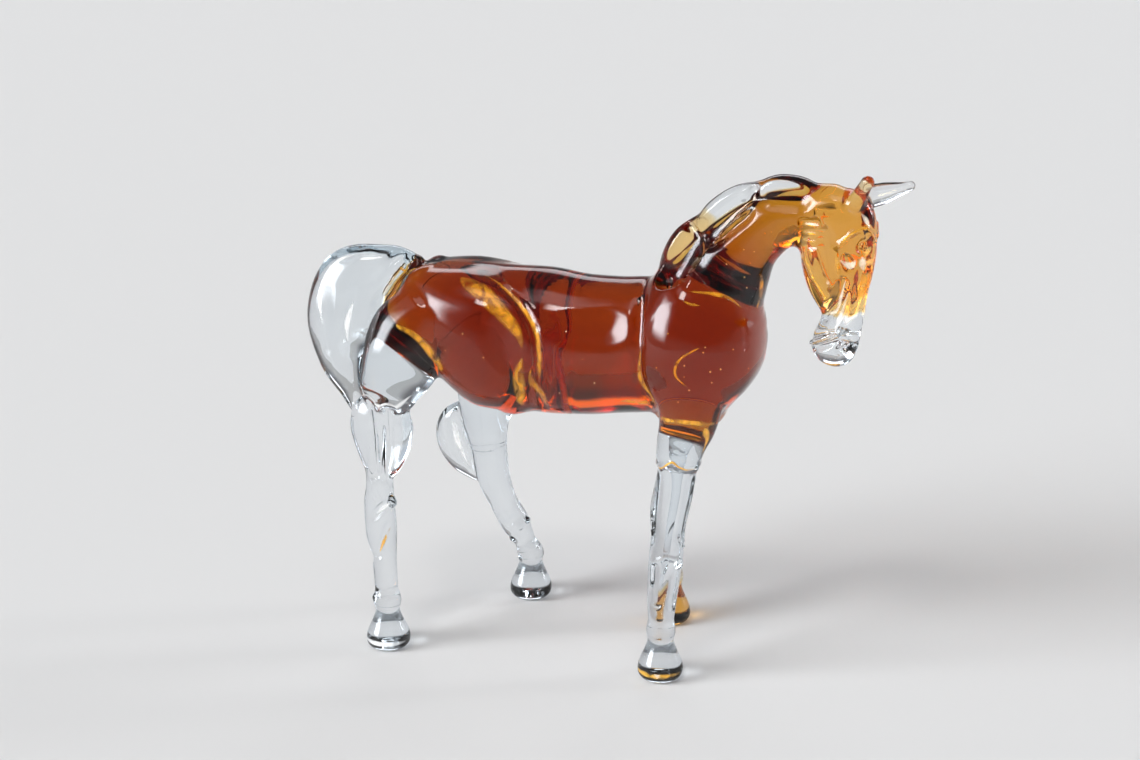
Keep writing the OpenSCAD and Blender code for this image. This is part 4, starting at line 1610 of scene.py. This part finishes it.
@dataclass(frozen=True)
class Seeds:
    """Tiny specks in the glass, made to shine with a painted glint and glow, as (x, y, z, radius)."""

    node: str
    places: tuple[tuple[float, ...], ...]

    def build(self, material: bpy.types.Material) -> bpy.types.Object:
        """Makes the specks as one object.

        Args:
            material: Their finish.

        Returns:
            The specks' object.
        """
        shape = bmesh.new()
        for x, y, z, radius in self.places:
            there = Matrix.Translation(Vector(to_row([(x, y, z)])[0] * MM))
            bmesh.ops.create_icosphere(shape, subdivisions=1, radius=SPECK_SIZE * radius * MM, matrix=there)
        mesh = bpy.data.meshes.new(f"seeds_{self.node}")
        shape.to_mesh(mesh)
        shape.free()
        mesh.materials.append(material)
        return placed(f"seeds_{self.node}", mesh)


# ---- Glass finishes ----


def add_node(
    tree: bpy.types.NodeTree, kind: str, given: dict[str | int, Given] | None = None, **settings: object
) -> bpy.types.Node:
    """Adds a shader node.

    Args:
        tree: The tree that it goes into.
        kind: Its type, without ShaderNode in front.
        given: A plain value or a socket for each input that it doesn't leave alone.
        **settings: Its own properties, which are set first.

    Returns:
        The node.
    """
    made = tree.nodes.new(f"ShaderNode{kind}")
    for name, value in settings.items():
        setattr(made, name, value)
    for name, value in (given or {}).items():
        if isinstance(value, bpy.types.NodeSocket):
            tree.links.new(value, made.inputs[name])
        else:
            made.inputs[name].default_value = value
    return made


def new_group(
    name: str, given: dict[str, float | None], result: str, kind: str = "Float"
) -> tuple[bpy.types.NodeTree, bpy.types.Node, bpy.types.Node]:
    """Starts a node group with one output.

    Args:
        name: Its name.
        given: Its inputs, each with the number it starts from, or None for a colour.
        result: Its output.
        kind: Float or Color, for the output.

    Returns:
        The group, its input node and its output node.
    """
    group = bpy.data.node_groups.new(name, "ShaderNodeTree")
    for label, value in given.items():
        type_name = "NodeSocketColor" if value is None else "NodeSocketFloat"
        socket = group.interface.new_socket(label, in_out="INPUT", socket_type=type_name)
        if value is not None:
            socket.default_value = value
    group.interface.new_socket(result, in_out="OUTPUT", socket_type=f"NodeSocket{kind}")
    return group, group.nodes.new("NodeGroupInput"), group.nodes.new("NodeGroupOutput")


def noise_in(
    tree: bpy.types.NodeTree, scale: bpy.types.NodeSocket, detail: float, distortion: float = 0.0
) -> bpy.types.NodeSocket:
    """Noise over the object, from 0 to 1."""
    place = add_node(tree, "TexCoord").outputs["Object"]
    given = {"Vector": place, "Scale": scale, "Detail": detail, "Distortion": distortion}
    return add_node(tree, "TexNoise", given).outputs["Fac"]


def pulled_lines_group() -> bpy.types.NodeTree:
    """The faint cords that pulling leaves in glass, as a height.

    Returns:
        A group with Scale, Stretch and Amount in and Height out.
    """
    group, given, result = new_group("pulled lines", {"Scale": 260.0, "Stretch": 0.18, "Amount": 1.0}, "Height")
    place = add_node(group, "TexCoord").outputs["Object"]
    spread = add_node(group, "CombineXYZ", {"X": 1.0, "Y": 1.0, "Z": given.outputs["Stretch"]}).outputs["Vector"]
    drawn = add_node(group, "VectorMath", {0: place, 1: spread}, operation="MULTIPLY").outputs["Vector"]
    looks = {"Vector": drawn, "Scale": given.outputs["Scale"], "Detail": 1.5, "Distortion": 0.6}
    noise = add_node(group, "TexNoise", looks).outputs["Fac"]
    times = add_node(group, "Math", {0: noise, 1: given.outputs["Amount"]}, operation="MULTIPLY")
    group.links.new(times.outputs["Value"], result.inputs["Height"])
    return group


def handled_group() -> bpy.types.NodeTree:
    """Faint marks of handling, as a roughness.

    Returns:
        A group with Scale, Clean and Smudged in and Roughness out.
    """
    group, given, result = new_group("handled glass", {"Scale": 90.0, "Clean": 0.0, "Smudged": 0.05}, "Roughness")
    spots = noise_in(group, given.outputs["Scale"], detail=4.0)
    ends = {"From Min": 0.52, "From Max": 0.78, "To Min": given.outputs["Clean"], "To Max": given.outputs["Smudged"]}
    spread = add_node(group, "MapRange", {"Value": spots, **ends})
    group.links.new(spread.outputs["Result"], result.inputs["Roughness"])
    return group


def melt_tint_group() -> bpy.types.NodeTree:
    """Slow drifts of tint in the melt, as a colour.

    Returns:
        A group with Scale, Light and Deep in and Color out.
    """
    group, given, result = new_group("melt tint", {"Scale": 120.0, "Light": None, "Deep": None}, "Color", "Color")
    drift = noise_in(group, given.outputs["Scale"], detail=2.0, distortion=1.2)
    ends = {"Factor": drift, "A": given.outputs["Light"], "B": given.outputs["Deep"]}
    mix = add_node(group, "Mix", ends, data_type="RGBA")
    group.links.new(mix.outputs["Result"], result.inputs["Color"])
    return group


@dataclass(frozen=True)
class GlassFinish:
    """One glass: how it tints light by depth, the marks on its skin, and a painted shade that darkens its colour
    where the skin is seen edge-on.

    The absorbed values are per millimetre of glass, for red, green and blue.
    """

    glass: Glass
    absorbed: Place
    light: Colour
    deep: Colour
    rim: Colour
    line_height: float
    smudged: float = 0.03
    ior: float = 1.5
    painted_edge_blend: float = 0.28
    line_strength: float = 0.25

    def material(
        self, lines: bpy.types.NodeTree, handled: bpy.types.NodeTree, tint: bpy.types.NodeTree
    ) -> bpy.types.Material:
        """Builds the material.

        Args:
            lines: The pulled lines group.
            handled: The handled glass group.
            tint: The melt tint group.

        Returns:
            Glass on the skin, nothing on the joint faces, and absorption inside.
        """
        made = bpy.data.materials.new(self.glass.value)
        made.use_nodes = True
        tree = made.node_tree
        tree.nodes.clear()
        rough = add_node(tree, "Group", {"Smudged": self.smudged}, node_tree=handled)
        colour = add_node(tree, "Group", {"Light": self.light, "Deep": self.deep}, node_tree=tint)
        # Painted shade: the colour darkens towards the outline, where the skin turns away from the eye.
        glance = add_node(tree, "LayerWeight", {"Blend": self.painted_edge_blend})
        edge = add_node(
            tree,
            "Mix",
            {"Factor": glance.outputs["Facing"], "A": colour.outputs["Color"], "B": self.rim},
            data_type="RGBA",
        )
        height = add_node(tree, "Group", node_tree=lines)
        bump = add_node(
            tree,
            "Bump",
            {"Strength": self.line_strength, "Distance": self.line_height * MM, "Height": height.outputs["Height"]},
        )
        skin = add_node(
            tree,
            "BsdfPrincipled",
            {
                "IOR": self.ior,
                "Transmission Weight": 1.0,
                "Metallic": 0.0,
                "Roughness": rough.outputs["Roughness"],
                "Base Color": edge.outputs["Result"],
                "Normal": bump.outputs["Normal"],
            },
        )
        joint = add_node(tree, "Attribute", attribute_name=JOINT_MASK)
        nothing = add_node(tree, "BsdfTransparent")
        mix = add_node(
            tree, "MixShader", {"Fac": joint.outputs["Fac"], 1: skin.outputs["BSDF"], 2: nothing.outputs["BSDF"]}
        )
        density = max(self.absorbed) / MM * DENSITY_MARGIN
        kept = (*(1 - a / MM / density for a in self.absorbed), 1.0)
        inside = add_node(tree, "VolumeAbsorption", {"Density": density, "Color": kept})
        add_node(tree, "OutputMaterial", {"Surface": mix.outputs["Shader"], "Volume": inside.outputs["Volume"]})
        return made


FINISHES = (
    GlassFinish(
        Glass.AMBER,
        absorbed=(0.060, 0.185, 0.62),
        light=(1.0, 0.985, 0.96, 1.0),
        deep=(0.99, 0.93, 0.84, 1.0),
        rim=(0.80, 0.66, 0.5, 1.0),
        line_height=0.06,
    ),
    GlassFinish(
        Glass.PALE_AMBER,
        absorbed=(0.014, 0.112, 0.36),
        light=(1.0, 0.99, 0.97, 1.0),
        deep=(0.99, 0.95, 0.88, 1.0),
        rim=(0.62, 0.5, 0.36, 1.0),
        line_height=0.07,
    ),
    GlassFinish(
        Glass.CLEAR,
        absorbed=(0.016, 0.010, 0.007),
        light=(1.0, 1.0, 1.0, 1.0),
        deep=(0.97, 0.98, 1.0, 1.0),
        rim=(0.42, 0.46, 0.54, 1.0),
        line_height=0.09,
    ),
)


def broken_film_group() -> bpy.types.NodeTree:
    """Where a film of caught light is whole and where it is broken, as a mask.

    Returns:
        A group with Scale, Most and Least in and Mask out.
    """
    group, given, result = new_group("broken film", {"Scale": 420.0, "Least": 0.0, "Most": 0.8}, "Mask")
    spots = noise_in(group, given.outputs["Scale"], detail=2.5, distortion=0.8)
    ends = {"From Min": 0.34, "From Max": 0.62, "To Min": given.outputs["Least"], "To Max": given.outputs["Most"]}
    spread = add_node(group, "MapRange", {"Value": spots, **ends})
    group.links.new(spread.outputs["Result"], result.inputs["Mask"])
    return group


@dataclass(frozen=True)
class FilmFinish:
    """The look of a film of painted light: a broken painted sheen with a little painted glow."""

    name: str
    colour: Colour
    glow: Colour
    glow_strength: float
    least: float
    most: float
    fades: bool = True
    roughness: float = 0.3
    metallic: float = 0.3

    def material(self, broken: bpy.types.NodeTree) -> bpy.types.Material:
        """Builds the material.

        Args:
            broken: The broken film group.

        Returns:
            A thin sheen that glass shows through where it is broken.
        """
        made = bpy.data.materials.new(self.name)
        made.use_nodes = True
        tree = made.node_tree
        sheen = tree.nodes["Principled BSDF"]
        sheen.inputs["Base Color"].default_value = self.colour
        sheen.inputs["Roughness"].default_value = self.roughness
        sheen.inputs["Metallic"].default_value = self.metallic
        sheen.inputs["Emission Color"].default_value = self.glow
        sheen.inputs["Emission Strength"].default_value = self.glow_strength
        cover = add_node(tree, "Group", {"Least": self.least, "Most": self.most}, node_tree=broken).outputs["Mask"]
        if self.fades:
            edge = add_node(tree, "Attribute", attribute_name=FADE_MASK).outputs["Fac"]
            cover = add_node(tree, "Math", {0: cover, 1: edge}, operation="MULTIPLY").outputs["Value"]
        tree.links.new(cover, sheen.inputs["Alpha"])
        return made


# Painted light: a golden glow and a silvery highlight inside the glass, standing in for light caught by seams,
# creases and hollows.
PAINTED_GOLD_GLOW = FilmFinish("painted golden glow", (1.0, 0.62, 0.07, 1.0), (1.0, 0.50, 0.045, 1.0), 0.34, 0.05, 0.9)
PAINTED_SILVER_HIGHLIGHT = FilmFinish("painted silvery highlight", (1.0, 0.97, 0.92, 1.0), (0.93, 0.96, 1.0, 1.0), 0.45, 0.4, 1.0)
# Painted glints: the specks glow by themselves.
PAINTED_SPECK_GLINT = FilmFinish("specks with painted glints", (1.0, 0.85, 0.6, 1.0), (1.0, 0.72, 0.4, 1.0), 0.6, 1.0, 1.0, fades=False)


# ---- Studio ----


@dataclass(frozen=True)
class SoftBox:
    """A far-off soft lamp, given by where it stands in the sky of the room.

    Azimuth runs from +X towards +Y. The half widths are tangents of the angles that it fills.
    """

    azimuth: float
    elevation: float
    half_width: float
    half_height: float
    feather: float
    power: float
    colour: Colour

    def add_to(self, tree: bpy.types.NodeTree, direction: bpy.types.NodeSocket) -> bpy.types.NodeSocket:
        """Adds the lamp's light to the room.

        Args:
            tree: The room's node tree.
            direction: The direction looked in.

        Returns:
            The lamp's colour in that direction.
        """
        a, e = math.radians(self.azimuth), math.radians(self.elevation)
        ahead = Vector((math.cos(a) * math.cos(e), math.sin(a) * math.cos(e), math.sin(e)))
        across = Vector((-math.sin(a), math.cos(a), 0.0))

        def number(operation: str, first: Given, second: Given) -> bpy.types.NodeSocket:
            """One step of arithmetic."""
            return add_node(tree, "Math", {0: first, 1: second}, operation=operation).outputs["Value"]

        def dot(axis: Vector) -> bpy.types.NodeSocket:
            """How far the direction goes along an axis."""
            return add_node(tree, "VectorMath", {0: direction, 1: axis}, operation="DOT_PRODUCT").outputs["Value"]

        depth = number("MAXIMUM", dot(ahead), 0.001)
        light = number("GREATER_THAN", dot(ahead), 0.02)
        for axis, half in ((across, self.half_width), (ahead.cross(across), self.half_height)):
            fade = add_node(
                tree,
                "MapRange",
                {
                    "Value": number("ABSOLUTE", number("DIVIDE", dot(axis), depth), 0.0),
                    "From Min": half,
                    "From Max": half + self.feather,
                    "To Min": 1.0,
                    "To Max": 0.0,
                },
                interpolation_type="SMOOTHSTEP",
            )
            light = number("MULTIPLY", light, fade.outputs["Result"])
        glow = {0: Vector(self.colour[:3]) * self.power, "Scale": light}
        return add_node(tree, "VectorMath", glow, operation="SCALE").outputs["Vector"]


@dataclass
class Studio:
    """Plain pale floor, soft lamps and the camera."""

    floor_radius: float = 3.0
    floor_colour: Colour = (0.76, 0.74, 0.715, 1.0)
    floor_roughness: float = 0.85
    horizon: tuple[float, Colour] = (0.05, (0.50, 0.495, 0.49, 1.0))
    overhead: tuple[float, Colour] = (0.26, (0.16, 0.16, 0.17, 1.0))
    eye: Place = (0.08284, -0.26740, 0.13270)
    azimuth: float = 18.0
    pitch: float = 18.0
    lens: float = 62.78
    lamps: tuple[SoftBox, ...] = (
        SoftBox(212.0, 27.0, 0.32, 0.26, 0.26, 0.6, (0.86, 0.92, 1.0, 1.0)),
        SoftBox(217.0, 22.0, 0.15, 0.16, 0.20, 17.0, (0.90, 0.95, 1.0, 1.0)),
        SoftBox(38.0, 20.0, 0.12, 0.26, 0.14, 1.8, (0.90, 0.95, 1.0, 1.0)),
        SoftBox(28.0, 17.0, 0.03, 0.11, 0.06, 14.0, (0.95, 0.97, 1.0, 1.0)),
        SoftBox(106.0, 30.0, 0.40, 0.08, 0.12, 2.6, (0.96, 0.97, 1.0, 1.0)),
        SoftBox(-100.0, 74.0, 0.18, 0.12, 0.20, 1.6, (0.94, 0.97, 1.0, 1.0)),
        SoftBox(-105.0, 58.0, 0.06, 0.04, 0.06, 14.0, (1.0, 0.98, 0.96, 1.0)),
    )

    def build(self) -> None:
        """Makes the floor, the room with its lamps, and the camera."""
        self.floor()
        self.room()
        self.camera()

    def floor(self) -> None:
        """A wide round floor just under the hooves."""
        a = 2 * math.pi * np.arange(FLOOR_SIDES) / FLOOR_SIDES
        r = self.floor_radius / MM
        ring = np.stack([r * np.cos(a), r * np.sin(a), np.full(FLOOR_SIDES, -FLOOR_GAP)], 1)
        points = np.vstack([ring, [[0.0, 0.0, -FLOOR_GAP]]])
        side = np.arange(FLOOR_SIDES)
        faces = np.stack([side, (side + 1) % FLOOR_SIDES, np.full(FLOOR_SIDES, FLOOR_SIDES)], 1)
        floor = placed("floor", mesh_from("floor", points, faces))
        paper = bpy.data.materials.new("pale floor")
        paper.use_nodes = True
        skin = paper.node_tree.nodes["Principled BSDF"]
        skin.inputs["Base Color"].default_value = self.floor_colour
        skin.inputs["Roughness"].default_value = self.floor_roughness
        floor.data.materials.append(paper)

    def room(self) -> None:
        """A dim room, pale along the horizon, with the soft lamps in its upper half."""
        world = bpy.data.worlds.new("room")
        world.use_nodes = True
        tree = world.node_tree
        place = add_node(tree, "TexCoord").outputs["Generated"]
        part = add_node(tree, "SeparateXYZ", {"Vector": place})
        ramp = add_node(tree, "ValToRGB", {"Fac": part.outputs["Z"]})
        first, last = ramp.color_ramp.elements
        first.position, first.color = self.horizon
        last.position, last.color = self.overhead
        ramp.color_ramp.interpolation = "EASE"
        total = ramp.outputs["Color"]
        for lamp in self.lamps:
            add = add_node(tree, "VectorMath", {0: total, 1: lamp.add_to(tree, place)}, operation="ADD")
            total = add.outputs["Vector"]
        tree.links.new(total, tree.nodes["Background"].inputs["Color"])
        bpy.context.scene.world = world

    def camera(self) -> None:
        """The camera, looking slightly down at the horse's right side."""
        lens = bpy.data.cameras.new("camera")
        lens.lens, lens.sensor_width = self.lens, 36.0
        lens.clip_start, lens.clip_end = 0.01, 20.0
        ob = bpy.data.objects.new("camera", lens)
        ob.location = self.eye
        a, e = math.radians(self.azimuth), math.radians(self.pitch)
        back = Vector((math.sin(a) * math.cos(e), -math.cos(a) * math.cos(e), math.sin(e)))
        ob.rotation_euler = (-back).to_track_quat("-Z", "Y").to_euler()
        bpy.context.scene.collection.objects.link(ob)
        bpy.context.scene.camera = ob


def main() -> None:
    """Builds the horse piece by piece and dresses it."""
    hind = [HindLeg(Side.RIGHT, (-28.5, -12.2)), HindLeg(Side.LEFT, (-13.9, 12.2))]
    fore = [ForeLeg(Side.RIGHT, (13.9, -9.8)), ForeLeg(Side.LEFT, (9.9, 9.8))]
    trunk = Trunk()
    groups = [trunk, NeckAndHead(), Mane(), Tail(), *hind, *fore]
    shapes = [g for group in groups for g in group.gathers()] + [leg.hoof() for leg in hind + fore]
    strokes = [s for group in groups for s in group.strokes()]
    furnace = Furnace()
    furnace.melt_all(shapes, strokes)
    log.info("melted %d gathers with %d tool strokes", len(shapes), len(strokes))
    parting = Parting(furnace)
    parting.prepare()
    lines, handled, tint = pulled_lines_group(), handled_group(), melt_tint_group()
    materials = {f.glass: f.material(lines, handled, tint) for f in FINISHES}
    for piece, points, quads in furnace.cutters():
        ob = parting.part(piece, points, quads)
        ob.data.materials.clear()
        ob.data.materials.append(materials[piece.glass])
        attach(ob, "root")
        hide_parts(piece.name)
        log.info("%s: %d faces", ob.name, len(ob.data.polygons))
    bpy.data.objects.remove(parting.skin)
    broken = broken_film_group()
    gold, pale, speck = (finish.material(broken) for finish in (PAINTED_GOLD_GLOW, PAINTED_SILVER_HIGHLIGHT, PAINTED_SPECK_GLINT))
    # Films of painted light: golden glows and silvery highlights inside the glass.
    for group in groups:
        for film in group.films():
            ob = film.build(furnace.block, pale if film.pale else gold)
            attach(ob, "root")
            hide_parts(film.node)
            log.info("%s: %d faces", ob.name, len(ob.data.polygons))
    # Specks with a painted glint.
    for seeds in trunk.seeds():
        ob = seeds.build(speck)
        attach(ob, "root")
        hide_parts(seeds.node)
        log.info("%s: %d specks", ob.name, len(seeds.places))
    Studio().build()
    scene = bpy.context.scene
    scene.view_settings.view_transform = "Standard"
    scene.view_settings.exposure = EXPOSURE
    scene.cycles.max_bounces = GLASS_BOUNCES
    scene.cycles.transmission_bounces = GLASS_BOUNCES
    scene.cycles.transparent_max_bounces = JOINT_BOUNCES


if __name__ == "__main__":
    main()
